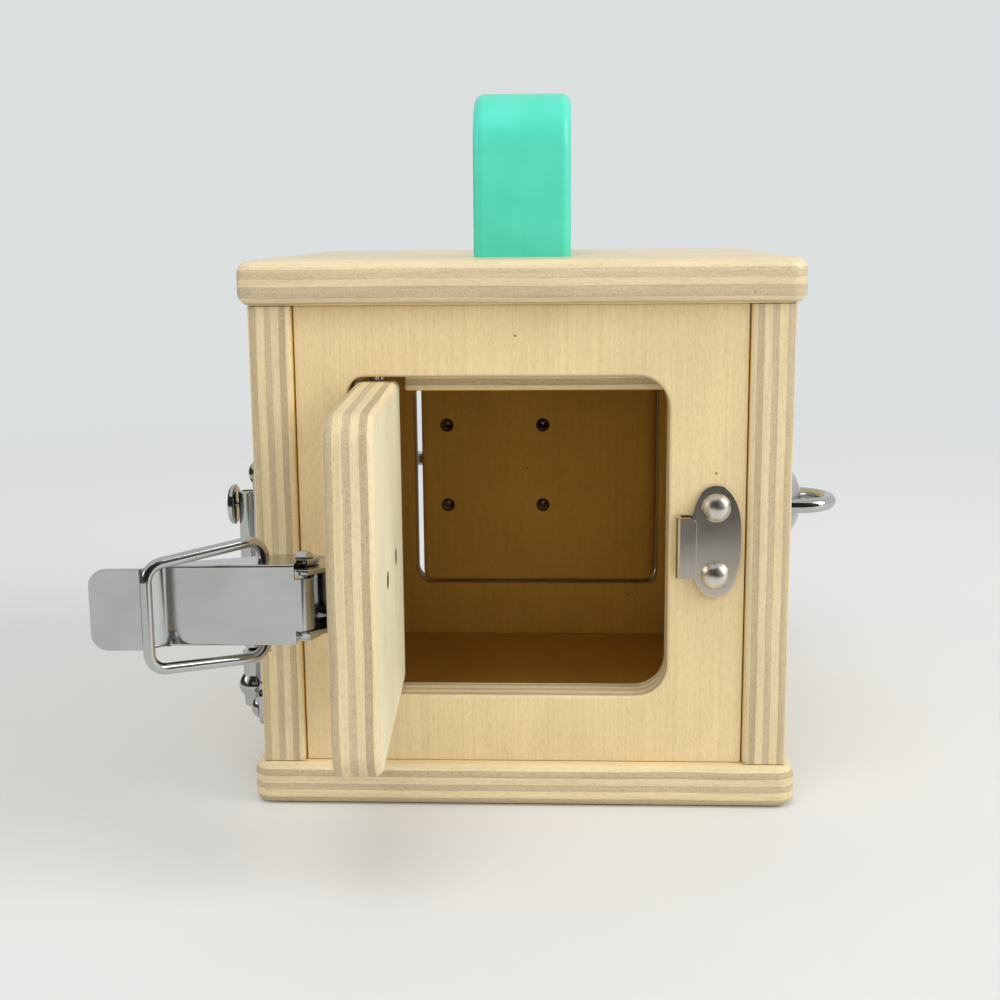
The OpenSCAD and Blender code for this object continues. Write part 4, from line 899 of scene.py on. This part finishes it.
class LOCKBOX_OT_draw_latch(bpy.types.Operator):
    """Draw latch on the front door: base with ears, rivet, lever, bail and screws"""

    bl_idname = "lockbox.draw_latch"
    bl_label = "Draw latch"

    EAR = 2.6
    PLAY = 0.2

    def base(self, metal, face, out):
        sheet, ear = metal.sheet, self.EAR
        past_screw, corner, back, tip_x, tip_drop, tip_r, web_tall = 4.2, 2.0, 6.5, 3.8, 0.6, 1.8, 4.6
        rivet_r, rivet_head, rivet_dome = 1.0, 3.4, 0.85
        tail = metal.far_screw + past_screw
        inside = metal.lever_width - 2 * sheet
        half = inside / 2 - self.PLAY
        shape = plate(tail + ear, inside, sheet, corner, metal.sheet_ease)
        placed(shape, shift((ear - tail) / 2, 0))
        outline = ([(-back, 0.1), (ear, 0.1)] + arc(tip_x, out - tip_drop, tip_r, -34, 70, 8)
                   + arc(0, out, ear, 75, 170, 10))
        for y in (sheet - half, half):
            side = outline_plate(outline, sheet, metal.sheet_ease)
            shape = carved(shape, placed(side, shift(0, y) @ turn(90, "X")), "UNION")
        web = block((-back, -half, 0.1), (sheet - back, half, web_tall), metal.sheet_ease)
        shape = carved(shape, web, "UNION")
        nickel_piece("latch_base_plate", placed(shape, face), "front_door", ["latch_base"], metal)
        span = metal.lever_width / 2 + self.PLAY
        head = dome_profile(rivet_head, rivet_dome, span + 0.05)
        rivet = [(r, -z) for r, z in reversed(head)] + [(rivet_r, -span), (rivet_r, span)] + head
        nickel_piece("latch_rivet_pin", placed(turned(rivet), face @ shift(0, 0, out) @ UPRIGHT),
                     "front_door", ["latch_rivet"], metal)

    def lever(self, metal, place, bail_x, bail_y):
        sheet, ear, wide, face = metal.sheet, self.EAR, metal.lever_width, metal.lever_face
        straight, run, root, root_r, fold, notch, root_half = 23.5, 4.4, 2.1, 2.4, 2.2, 1.0, 4.6
        rivet_hole, tip_corner = 2.1, 3.0
        half = wide / 2
        outline = ([(-root, 0), (0, -ear)] + arc(bail_x, bail_y, ear, 270, 330, 6)
                   + [(straight, face - fold - 0.2), (straight, face)]
                   + arc(root_r - root, face - root_r, root_r, 90, 180, 8))
        shape = placed(outline_plate(outline, wide, 0), shift(0, 0, -half))
        # The sheet is folded round along both sides of the face and down the root
        eased(shape, fold, 6, lambda spot: spot.y > face - root_r and spot.x < straight - 0.1
              and abs(spot.z) > half - 0.1)
        inside = block((sheet - root, -10, sheet - half), (30, face - sheet, half - sheet), 0)
        eased(inside, fold - sheet, 4,
              lambda spot: spot.y > face - sheet - 0.1 and abs(spot.z) > half - sheet - 0.1)
        shape = carved(shape, inside)
        # A notch at each corner of the root leaves a wall between them
        for low, high in ((root_half, wide), (-wide, -root_half)):
            shape = carved(shape, block((-10, -10, low), (notch, 10, high), 0))
        # Eyes round the rivet, on necks that run into the sides
        for low in (half - sheet, -half):
            neck = [(bail_x, bail_y - ear), (bail_x, bail_y)]
            eye = outline_plate(arc(0, 0, ear, 90, 262, 14) + neck, sheet, 0.2, 2)
            shape = carved(shape, placed(eye, shift(0, 0, low)), "UNION")
        shape = carved(shape, rod(rivet_hole, -wide, wide, 0))
        # The thumb end steps out smoothly from the face and is rolled at its tip
        upper = [(straight - 0.6, face)]
        for i in range(13):
            k = i / 12
            upper.append((straight - 0.3 + k * run, face + metal.thumb_set * k * k * (3 - 2 * k)))
        upper.append((metal.lever_length, face + metal.thumb_set))
        thumb = outline_plate(upper + [(x, y - sheet) for x, y in reversed(upper)], wide, 0)
        placed(thumb, shift(0, 0, -half))
        tip = [edge for edge in thumb.edges
               if all(vert.co.x > metal.lever_length - 0.1 for vert in edge.verts)
               and abs(edge.verts[0].co.z - edge.verts[1].co.z) < 0.1]
        bmesh.ops.bevel(thumb, geom=tip, offset=tip_corner, offset_type="OFFSET", segments=6, profile=0.5,
                        affect="EDGES", material=-1)
        eased(thumb, 0.3, 3, lambda spot: spot.x > straight)
        shape = carved(shape, thumb, "UNION")
        nickel_piece("latch_lever_arm", placed(shape, place), "latch_lever", ["latch_lever"], metal)

    def bail(self, metal, place, bail_x, bail_y):
        lean, radius, half, reach, angle = 4.5, 3.2, 10.5, 22.35, 38
        stub = metal.lever_width / 2 - metal.sheet - 0.4
        leg = (reach - 2 * radius) / math.cos(math.radians(lean))
        bar = half - radius - (reach - 2 * radius) * math.tan(math.radians(lean))
        near, far = (radius, -90 - lean), (radius, lean - 90)
        short = half - radius - stub
        shape = wire(metal.bail_wire, [short, near, leg, far, 2 * bar, far, leg, near, short])
        start = shift(0, stub) @ turn(90, "Z")
        tilt = place @ shift(bail_x, bail_y) @ turn(angle, "Z") @ turn(90, "X")
        nickel_piece("latch_bail_wire", placed(shape, tilt @ start), "latch_bail", ["latch_bail"], metal)

    def execute(self, context):
        metal = Settings(context.scene.lock_box_metal)
        out = -LEVER_PIVOT.y - PLY / 2
        self.base(metal, on_face(FRONT_DOOR, LEVER_PIVOT.x, LEVER_PIVOT.z), out)
        place = FRONT_DOOR @ Matrix.Translation(LEVER_PIVOT) @ turn(-90, "Z")
        bail_at = turn(90, "Z") @ (BAIL_PIVOT - LEVER_PIVOT)
        self.lever(metal, place, bail_at.x, bail_at.y)
        self.bail(metal, place, bail_at.x, bail_at.y)
        screw_piece("latch_dome_screws", "front_door", ["latch_screws"], metal, metal.sheet, metal.long_screw,
                    [(metal.head, on_face(FRONT_DOOR, u, z)) for u, z in latch_screw_spots(metal)])
        return {"FINISHED"}


class LOCKBOX_OT_latch_keeper(bpy.types.Operator):
    """Oval keeper plate with its folded hook, on the front panel"""

    bl_idname = "lockbox.latch_keeper"
    bl_label = "Latch keeper"

    def execute(self, context):
        metal = Settings(context.scene.lock_box_metal)
        half_wide, half_tall, power, screw_along = 5.4, 11.7, 2 / 2.3, 7.1
        outline = [(math.copysign(abs(x) ** power * half_wide, x),
                    math.copysign(abs(y) ** power * half_tall, y)) for x, y in arc(0, 0, 1.0, 0, 360 - 5, 71)]
        shape = outline_plate(outline, metal.sheet, 0.3)
        lip, tab_out, tab_tall, bend, reach, sheet = 4.0, 4.6, 12.6, 1.2, -8.2, metal.sheet
        rise = LEVER_PIVOT.z - KEEPER.z
        fold = ([(lip + bend, 0), (lip + bend, sheet), (sheet, sheet), (sheet, tab_out - sheet),
                 (bend, tab_out - sheet)]
                + arc(bend, tab_out - bend, bend, 90, 180) + arc(bend, bend, bend, 180, 270))
        hook = placed(outline_plate(fold, tab_tall, 0.2), shift(reach, rise + tab_tall / 2) @ turn(90, "X"))
        shape = carved(shape, hook, "UNION")
        tongue = plate(lip - bend / 2, tab_tall, sheet, 1.5, 0.3, 3, 0.1)
        placed(tongue, shift(reach + (lip + bend / 2) / 2, rise, tab_out - sheet))
        shape = carved(shape, tongue, "UNION")
        face = on_face(FRONT_WALL, KEEPER.x, KEEPER.z)
        nickel_piece("latch_keeper_plate", placed(shape, face), "case", ["latch_keeper"], metal, "worn")
        screw_piece("keeper_dome_screws", "case", ["keeper_screws"], metal, metal.sheet, metal.short_screw,
                    [(metal.head, face @ shift(0, side * screw_along)) for side in (-1, 1)])
        return {"FINISHED"}


def strap(bore, out, wide, thickness, ease):
    """Strap bent over a rod that lies along X at the given height"""
    outer = bore + thickness
    points = ([(outer, 0.05)] + arc(0, out, outer, 0, 180, 16) + [(-outer, 0.05), (-bore, 0.05)]
              + arc(0, out, bore, 180, 0, 16) + [(bore, 0.05)])
    return placed(outline_plate(points, wide, ease), shift(-wide / 2, 0) @ END_ON)


class LOCKBOX_OT_back_bolt(bpy.types.Operator):
    """Barrel bolt on the back door: plate with straps, rod, knob, keeper and screws"""

    bl_idname = "lockbox.back_bolt"
    bl_label = "Back bolt"

    def execute(self, context):
        metal = Settings(context.scene.lock_box_metal)
        sheet, ease = metal.sheet, metal.sheet_ease
        strap_wide, strap_sheet, strap_along, screw_along = 6.0, 1.2, 11.0, 8.4
        thick = size("bolt_rod").z
        rod_at = seen_from(BACK_WALL, "bolt_rod")
        out = -rod_at.y - PLY / 2
        plate_size = size("bolt_base")
        face = on_face(BACK_WALL, BOLT.x, BOLT.z)
        shape = plate(plate_size.x, plate_size.z, sheet, 3.0, ease)
        for side in (-1, 1):
            arch = strap(thick / 2 + 0.05, out, strap_wide, strap_sheet, ease)
            shape = joined(shape, placed(arch, shift(side * strap_along, 0)))
        nickel_piece("bolt_base_plate", placed(shape, face), "back_door", ["bolt_base"], metal)

        half = size("bolt_rod").x / 2
        shape = placed(rod(thick, -half, half, 0.5), turn(90, "Y"))
        nickel_piece("bolt_round_rod", placed(shape, on_face(BACK_WALL, rod_at.x, BOLT.z) @ shift(0, 0, out)),
                     "back_bolt", ["bolt_rod"], metal)
        knob_u = seen_from(BACK_WALL, "bolt_knob").x
        stem_r, stem_in, stem_out = 1.2, 1.8, 3.5
        knob_r, rim, band, dome_wide, dome_tall = 3.5, 0.4, 1.3, 6.6, 1.4
        top = thick / 2 + stem_out
        profile = [(0, -stem_in), (stem_r, -stem_in), (stem_r, top)]
        profile += [(knob_r - rim, top), (knob_r, top + rim), (knob_r, top + band)]
        profile += dome_profile(dome_wide, dome_tall, top + band + 0.3)
        shape = placed(turned(profile), on_face(BACK_WALL, knob_u, BOLT.z) @ shift(0, 0, out))
        nickel_piece("bolt_round_knob", shape, "back_bolt", ["bolt_knob"], metal)

        keeper = seen_from(BACK_WALL, "bolt_keeper")
        foot = size("bolt_keeper")
        face = on_face(BACK_WALL, keeper.x, keeper.z)
        shape = plate(foot.x, foot.z, sheet, 2.5, ease)
        shape = joined(shape, strap(thick / 2 + 0.3, out, strap_wide, strap_sheet, ease))
        nickel_piece("bolt_keeper_plate", placed(shape, face), "case", ["bolt_keeper"], metal)

        screw_piece("bolt_dome_screws", "back_door", ["bolt_screws"], metal, sheet, metal.long_screw,
                    [(metal.small_head, on_face(BACK_WALL, u, z)) for u, z in bolt_screw_spots(metal)])
        heads = [(metal.small_head, face @ shift(0, side * screw_along)) for side in (-1, 1)]
        screw_piece("bolt_keeper_dome_screws", "case", ["bolt_keeper_screws"], metal, sheet,
                    metal.short_screw, heads)
        return {"FINISHED"}


class LOCKBOX_OT_drop_bolt(bpy.types.Operator):
    """Drop bolt on the left panel and the tongue on the left door that it locks"""

    bl_idname = "lockbox.drop_bolt"
    bl_label = "Drop bolt"

    def execute(self, context):
        metal = Settings(context.scene.lock_box_metal)
        sheet, ease = metal.heavy_sheet, metal.sheet_ease
        low, high = corners("drop_base")
        rod_low, rod_high = corners("drop_rod")
        out = -seen_from(LEFT_WALL, "drop_rod").y - PLY / 2
        tongue_low = corners("drop_tongue")[0]
        tongue_mid = tongue_low.z + sheet / 2
        face = on_face(LEFT_WALL, DROP.x, 0)
        tall = high.z - low.z
        wide, foot_wide, foot_tall, corner = 12.0, 17.6, 9.5, 3.0
        bore, barrel, sleeve_r, collar_r, collar_up, half_web = 1.25, 2.0, 2.4, 3.5, 4.5, 1.2
        half_slot, slot_down, slot_up, tongue_room = 0.9, 13.5, 1.5, 1.3
        shape = placed(plate(wide, tall, sheet, corner, ease), shift(0, low.z + tall / 2))
        foot = placed(plate(foot_wide, foot_tall, sheet, corner, ease), shift(0, low.z + foot_tall / 2))
        shape = carved(shape, foot, "UNION")
        barrel_low, barrel_high = tongue_mid + tongue_room, rod_high.z + 0.3
        sleeve_low, sleeve_high = low.z + 2.5, tongue_mid - tongue_room
        knob_z = middle("drop_knob").z
        slot = block((-half_slot, -5, knob_z - slot_down), (half_slot, 0, knob_z + slot_up), 0)
        upright = shift(0, 0, out) @ UPRIGHT
        sleeve = carved(tube(bore, barrel, barrel_low, barrel_high), slot)
        foot_sleeve = tube(bore, sleeve_r, sleeve_low, sleeve_high)
        collar_low, collar_high = low.z + collar_up, low.z + foot_tall
        bulge = [(sleeve_r + (collar_r - sleeve_r) * math.sin(math.pi * k / 10),
                  collar_low + (collar_high - collar_low) * k / 10) for k in range(11)]
        collar = turned([(bore + 0.3, collar_low)] + bulge + [(bore + 0.3, collar_high)], True)
        for part in (sleeve, foot_sleeve, collar):
            shape = joined(shape, placed(part, upright))
        for web_low, web_high in ((barrel_low, barrel_high), (sleeve_low, sleeve_high)):
            web = block((-half_web, web_low, sheet / 2), (half_web, web_high, out - bore), 0.1, 1)
            shape = joined(shape, web)
        nickel_piece("drop_base_plate", placed(shape, face), "case", ["drop_base"], metal)

        shape = placed(rod(rod_high.x - rod_low.x, rod_low.z, rod_high.z, 0.4), upright)
        nickel_piece("drop_round_rod", placed(shape, face), "drop_bolt", ["drop_rod"], metal)
        knob_low, knob_high = corners("drop_knob")
        radius = (knob_high.z - knob_low.z) / 2
        reach = -knob_low.x - size("left_panel").x / 2 + middle("left_panel").x
        stem, knob = 0.6, 1.4
        profile = [(0, out - 1.0), (stem, out - 1.0), (stem, reach - knob), (radius - 0.4, reach - knob),
                   (radius, reach - knob + 0.3), (radius, reach - 0.5), (radius - 0.4, reach - 0.1),
                   (radius - 1, reach), (0, reach)]
        shape = placed(turned(profile), on_face(LEFT_WALL, DROP.x, knob_z))
        nickel_piece("drop_round_knob", shape, "drop_bolt", ["drop_knob"], metal)
        foot_screw, rise, drop = 6.3, 4.0, 3.8
        heads = [(metal.small_head, face @ shift(side * foot_screw, low.z + rise)) for side in (-1, 1)]
        heads.append((metal.head, face @ shift(0, high.z - drop)))
        screw_piece("drop_dome_screws", "case", ["drop_screws"], metal, sheet, metal.short_screw, heads,
                    "polished")

        screw_spot = seen_from(LEFT_WALL, "tongue_screws")
        eye, rod_hole, tongue_wide, tongue_tall, tongue_corner, screw_along = 2.0, 3.0, 13.0, 14.0, 1.5, 3.2
        foot_u = screw_spot.x + tongue_wide / 2
        shape = plate(tongue_wide, tongue_tall, sheet, tongue_corner, ease)
        placed(shape, shift(screw_spot.x, tongue_low.z + tongue_tall / 2))
        outline = ([(foot_u - tongue_wide, 0.05), (foot_u, 0.05), (foot_u, out - eye)]
                   + arc(DROP.x, out, eye, -90, 90, 12) + [(foot_u - tongue_wide, out + eye)])
        arm = outline_plate(outline, sheet, ease)
        arm = carved(arm, placed(rod(rod_hole, -1, sheet + 1, 0), shift(DROP.x, out)))
        shape = joined(shape, placed(arm, shift(0, tongue_low.z + sheet) @ turn(90, "X")))
        placed(shape, on_face(LEFT_WALL, 0, 0))
        nickel_piece("drop_tongue_plate", shape, "left_door", ["drop_tongue"], metal)
        heads = [(metal.small_head, on_face(LEFT_WALL, screw_spot.x + side * screw_along, screw_spot.z))
                 for side in (-1, 1)]
        screw_piece("tongue_dome_screws", "left_door", ["tongue_screws"], metal, sheet, metal.short_screw,
                    heads)
        return {"FINISHED"}


class LOCKBOX_OT_hook(bpy.types.Operator):
    """Hook on the right door and the domed staple on the right panel"""

    bl_idname = "lockbox.hook"
    bl_label = "Hook and staple"

    def execute(self, context):
        metal = Settings(context.scene.lock_box_metal)
        thick = metal.hook_wire
        radius = metal.shank / 2
        ring, ring_out, shank, foot = 7.0, 2.2, 7.0, 0.2
        staple_wide, staple_tall, mount_wide, mount_tall = 16.0, 3.3, 13.0, 2.5
        stud_r, neck_r, cap_wide, cap_tall = 1.5, 2.4, 5.0, 0.8
        face = on_face(RIGHT_WALL, STAPLE.x, STAPLE.z)
        screw = [(0, -shank), (radius, -shank), (radius, 0)]
        dome = turned(screw + [(staple_wide / 2 - foot, 0)] + dome_profile(staple_wide, staple_tall, 0.1, 14))
        loop = wire(thick, [ring_out, (ring, 180), ring_out])
        # The loop starts on the face, with its left to the other foot
        start = Matrix(((0, -1, 0, ring), (0, 0, 1, 0), (1, 0, 0, 0), (0, 0, 0, 1)))
        shape = joined(dome, placed(loop, start))
        nickel_piece("staple_ring", placed(shape, face), "case", ["staple"], metal)

        face = on_face(RIGHT_WALL, MOUNT.x, MOUNT.z)
        out = pin("hook_pivot").x - middle("right_panel").x - PLY / 2
        collar, cap = out - thick / 2 - 0.2, out + thick / 2 + 0.2
        profile = screw + [(mount_wide / 2 - foot, 0)]
        profile += [spot for spot in dome_profile(mount_wide, mount_tall, 0.1, 14) if spot[0] > neck_r + 0.2]
        profile += [(neck_r, collar), (stud_r, collar), (stud_r, cap), (cap_wide / 2, cap)]
        profile += [(cap_wide / 2 + 0.2, cap + 0.2)] + dome_profile(cap_wide, cap_tall, cap + 0.4)
        nickel_piece("hook_mount_stud", placed(turned(profile), face), "right_door", ["hook_mount"], metal)

        arm, bend, tip, eye_in = STAPLE.x - MOUNT.x, 3.2, 8.0, 2.6
        half = thick / 2
        eye = turned([(1.55, 0.3 - half), (1.85, -half), (3.0, -half), (3.5, -half * 0.7), (3.7, 0),
                      (3.5, half * 0.7), (3.0, half), (1.85, half), (1.55, half - 0.3)], closed=True)
        rest = wire(thick, [arm - bend - eye_in, (bend, -90), tip])
        shape = joined(eye, placed(rest, shift(eye_in, 0)))
        placed(shape, face @ shift(0, 0, out) @ turn(-90, "Z"))
        nickel_piece("swing_hook", shape, "hook", ["hook"], metal)
        return {"FINISHED"}


class LOCKBOX_OT_inner_fittings(bpy.types.Operator):
    """Finishes for the dowels, hinge pins and handle screws, which keep their CAD shapes"""

    bl_idname = "lockbox.inner_fittings"
    bl_label = "Inner fittings"

    def execute(self, context):
        wood = Settings(context.scene.lock_box_wood)
        nickel = nickel_named("polished", Settings(context.scene.lock_box_metal))
        dowel = birch_plywood("birch_dowel", (0, 0, 0), FACING_FRONT, [wood.veneer] * 7, wood.veneer, 15)
        nickel_nodes = ["handle_screws", "front_hinge_pins", "back_hinge_pins", "left_hinge_pins",
                        "right_hinge_pins"]
        for finish, names in ((nickel, nickel_nodes), (dowel, ["base_dowels", "lid_dowels"])):
            for slot in [slot for name in names for slot in frame["nodes"][name].material_slots]:
                slot.material = finish
        return {"FINISHED"}


class LOCKBOX_OT_stage(bpy.types.Operator):
    """Camera, pale floor, soft light and backdrop"""

    bl_idname = "lockbox.stage"
    bl_label = "Stage"

    TARGET = (0.0, -0.02, 0.06)

    def seen(self, tree, *kinds):
        """1 for light rays of these kinds, and 0 for the others"""
        path = node(tree, "ShaderNodeLightPath", {}).outputs
        found = path[kinds[0]]
        for kind in kinds[1:]:
            found = node(tree, "ShaderNodeMath", {0: found, 1: path[kind]},
                         operation="MAXIMUM").outputs["Value"]
        return found

    def laid(self, name, roughness, gloss, patch, share, tone):
        """A plain finish with faint patches of a share of its tone, whose size is in metres"""
        finish, tree, shader, coords = new_finish(name, {"Roughness": roughness, "Specular IOR Level": gloss})
        darker = [share * part for part in tone[:3]] + [1.0]
        patches = mottled(tree, coords, patch, 2.0, [(0.3, darker), (0.7, tuple(tone))])[1]
        tree.links.new(patches, shader.inputs["Base Color"])
        return finish, tree, shader, coords

    def lamp(self, name, place, wide, watts, mirrored=True):
        """Soft round lamp turned to the box"""
        data = bpy.data.lights.new(name, "AREA")
        data.shape = "DISK"
        data.size = wide
        data.energy = watts
        made = bpy.data.objects.new(name, data)
        made.location = place
        made.rotation_euler = (Vector(self.TARGET) - Vector(place)).to_track_quat("-Z", "Y").to_euler()
        made.visible_glossy = mirrored
        bpy.context.scene.collection.objects.link(made)

    def card(self, name, place, angle, wide, tall, finish):
        """Upright dark card that only mirror surfaces see"""
        shape = bmesh.new()
        bmesh.ops.create_grid(shape, x_segments=1, y_segments=1, size=0.5)
        upright = turn(angle, "Z") @ turn(90, "X")
        placed(shape, Matrix.Translation(place) @ upright @ Matrix.Diagonal((wide, tall, 1.0, 1.0)))
        made = self.stage_piece(name, shape, finish)
        made.visible_camera = False
        made.visible_diffuse = False
        made.visible_shadow = False

    def stage_piece(self, name, shape, finish):
        mesh = bpy.data.meshes.new(name)
        shape.to_mesh(mesh)
        shape.free()
        mesh.materials.append(finish)
        mesh.shade_smooth()
        made = bpy.data.objects.new(name, mesh)
        bpy.context.scene.collection.objects.link(made)
        return made

    def execute(self, context):
        stage = context.scene.lock_box_stage
        scene = context.scene
        scene.view_settings.view_transform = "Standard"
        camera = bpy.data.cameras.new("camera")
        camera.sensor_width = 36.0
        camera.lens = stage.lens
        camera.clip_start = 0.01
        viewer = bpy.data.objects.new("camera", camera)
        pitch, roll, yaw = stage.camera_turn
        viewer.matrix_world = (Matrix.Translation(stage.camera_place) @ Matrix.Rotation(yaw, 4, "Z")
                               @ Matrix.Rotation(pitch, 4, "X") @ Matrix.Rotation(roll, 4, "Z"))
        scene.collection.objects.link(viewer)
        scene.camera = viewer

        # Pale laminate table top: matt, with a very faint cloud; far off it fades into the backdrop
        finish, tree, shader, coords = self.laid("pale_laminate", 0.55, 0.3, 0.08, 0.985, stage.floor)
        away = node(tree, "ShaderNodeVectorMath", {0: coords}, operation="LENGTH").outputs["Value"]
        far = node(tree, "ShaderNodeMapRange", {"Value": away, "From Min": 0.2, "From Max": 0.8},
                   interpolation_type="SMOOTHSTEP").outputs["Result"]
        seen = self.seen(tree, "Is Camera Ray", "Is Transmission Ray")
        fade = node(tree, "ShaderNodeMath", {0: seen, 1: far}, operation="MULTIPLY").outputs["Value"]
        backdrop = node(tree, "ShaderNodeEmission", {"Color": stage.backdrop}).outputs["Emission"]
        both = node(tree, "ShaderNodeMixShader", {0: fade, 1: shader.outputs["BSDF"], 2: backdrop})
        node(tree, "ShaderNodeOutputMaterial", {"Surface": both.outputs["Shader"]}).is_active_output = True
        shape = bmesh.new()
        bmesh.ops.create_grid(shape, x_segments=1, y_segments=1, size=6.0)
        self.stage_piece("floor", shape, finish)

        # Dark felt cards: behind the camera, beside it where a person would stand, and low at the left
        finish = self.laid("dark_felt", 0.9, 0.2, 0.05, 0.8, stage.shade)[0]
        self.card("card_behind", (0.0, -0.43, 0.32), 0, 1.0, 0.6, finish)
        self.card("card_beside", (0.32, -0.29, 0.25), 0, 0.6, 0.5, finish)
        self.card("card_left", (-0.42, 0.1, 0.09), 90, 0.9, 0.18, finish)

        world = bpy.data.worlds.new("backdrop")
        world.use_nodes = True
        tree = world.node_tree
        tree.nodes.clear()
        seen = self.seen(tree, "Is Camera Ray", "Is Transmission Ray", "Is Glossy Ray")
        light = node(tree, "ShaderNodeBackground", {"Color": grey(1.0), "Strength": 0.6})
        pale = node(tree, "ShaderNodeBackground", {"Color": stage.backdrop, "Strength": 1.0})
        both = node(tree, "ShaderNodeMixShader", {
            0: seen, 1: light.outputs["Background"], 2: pale.outputs["Background"]})
        node(tree, "ShaderNodeOutputWorld", {"Surface": both.outputs["Shader"]})
        scene.world = world

        self.lamp("key", (1.5, -0.6, 0.9), 1.2, 18.0)
        self.lamp("top", (-0.2, -0.8, 1.8), 1.2, 11.2, False)
        self.lamp("window", (-1.6, -0.3, 0.5), 0.8, 3.5)
        self.lamp("front", (0.1, -1.6, 0.3), 1.0, 2.6, False)
        return {"FINISHED"}


class LOCKBOX_PT_panel(bpy.types.Panel):
    """Lists the steps that dress the lock box"""

    bl_idname = "LOCKBOX_PT_panel"
    bl_label = "Lock Box"
    bl_space_type = "VIEW_3D"
    bl_region_type = "UI"
    bl_category = "Lock Box"

    def draw(self, context):
        for operator in OPERATORS:
            self.layout.operator(operator.bl_idname)


OPERATORS = (LOCKBOX_OT_stage, LOCKBOX_OT_boards, LOCKBOX_OT_doors, LOCKBOX_OT_handle, LOCKBOX_OT_draw_latch,
             LOCKBOX_OT_latch_keeper, LOCKBOX_OT_back_bolt, LOCKBOX_OT_drop_bolt, LOCKBOX_OT_hook,
             LOCKBOX_OT_inner_fittings)
CLASSES = tuple(GROUPS.values()) + OPERATORS + (LOCKBOX_PT_panel,)


def register():
    for item in CLASSES:
        bpy.utils.register_class(item)
    for name, group in GROUPS.items():
        setattr(bpy.types.Scene, name, bpy.props.PointerProperty(type=group))


def unregister():
    for name in GROUPS:
        delattr(bpy.types.Scene, name)
    for item in reversed(CLASSES):
        bpy.utils.unregister_class(item)


def main():
    register()
    bpy.ops.lockbox.stage()
    bpy.ops.lockbox.boards()
    bpy.ops.lockbox.doors()
    bpy.ops.lockbox.handle()
    bpy.ops.lockbox.draw_latch()
    bpy.ops.lockbox.latch_keeper()
    bpy.ops.lockbox.back_bolt()
    bpy.ops.lockbox.drop_bolt()
    bpy.ops.lockbox.hook()
    bpy.ops.lockbox.inner_fittings()


if __name__ == "__main__":
    main()
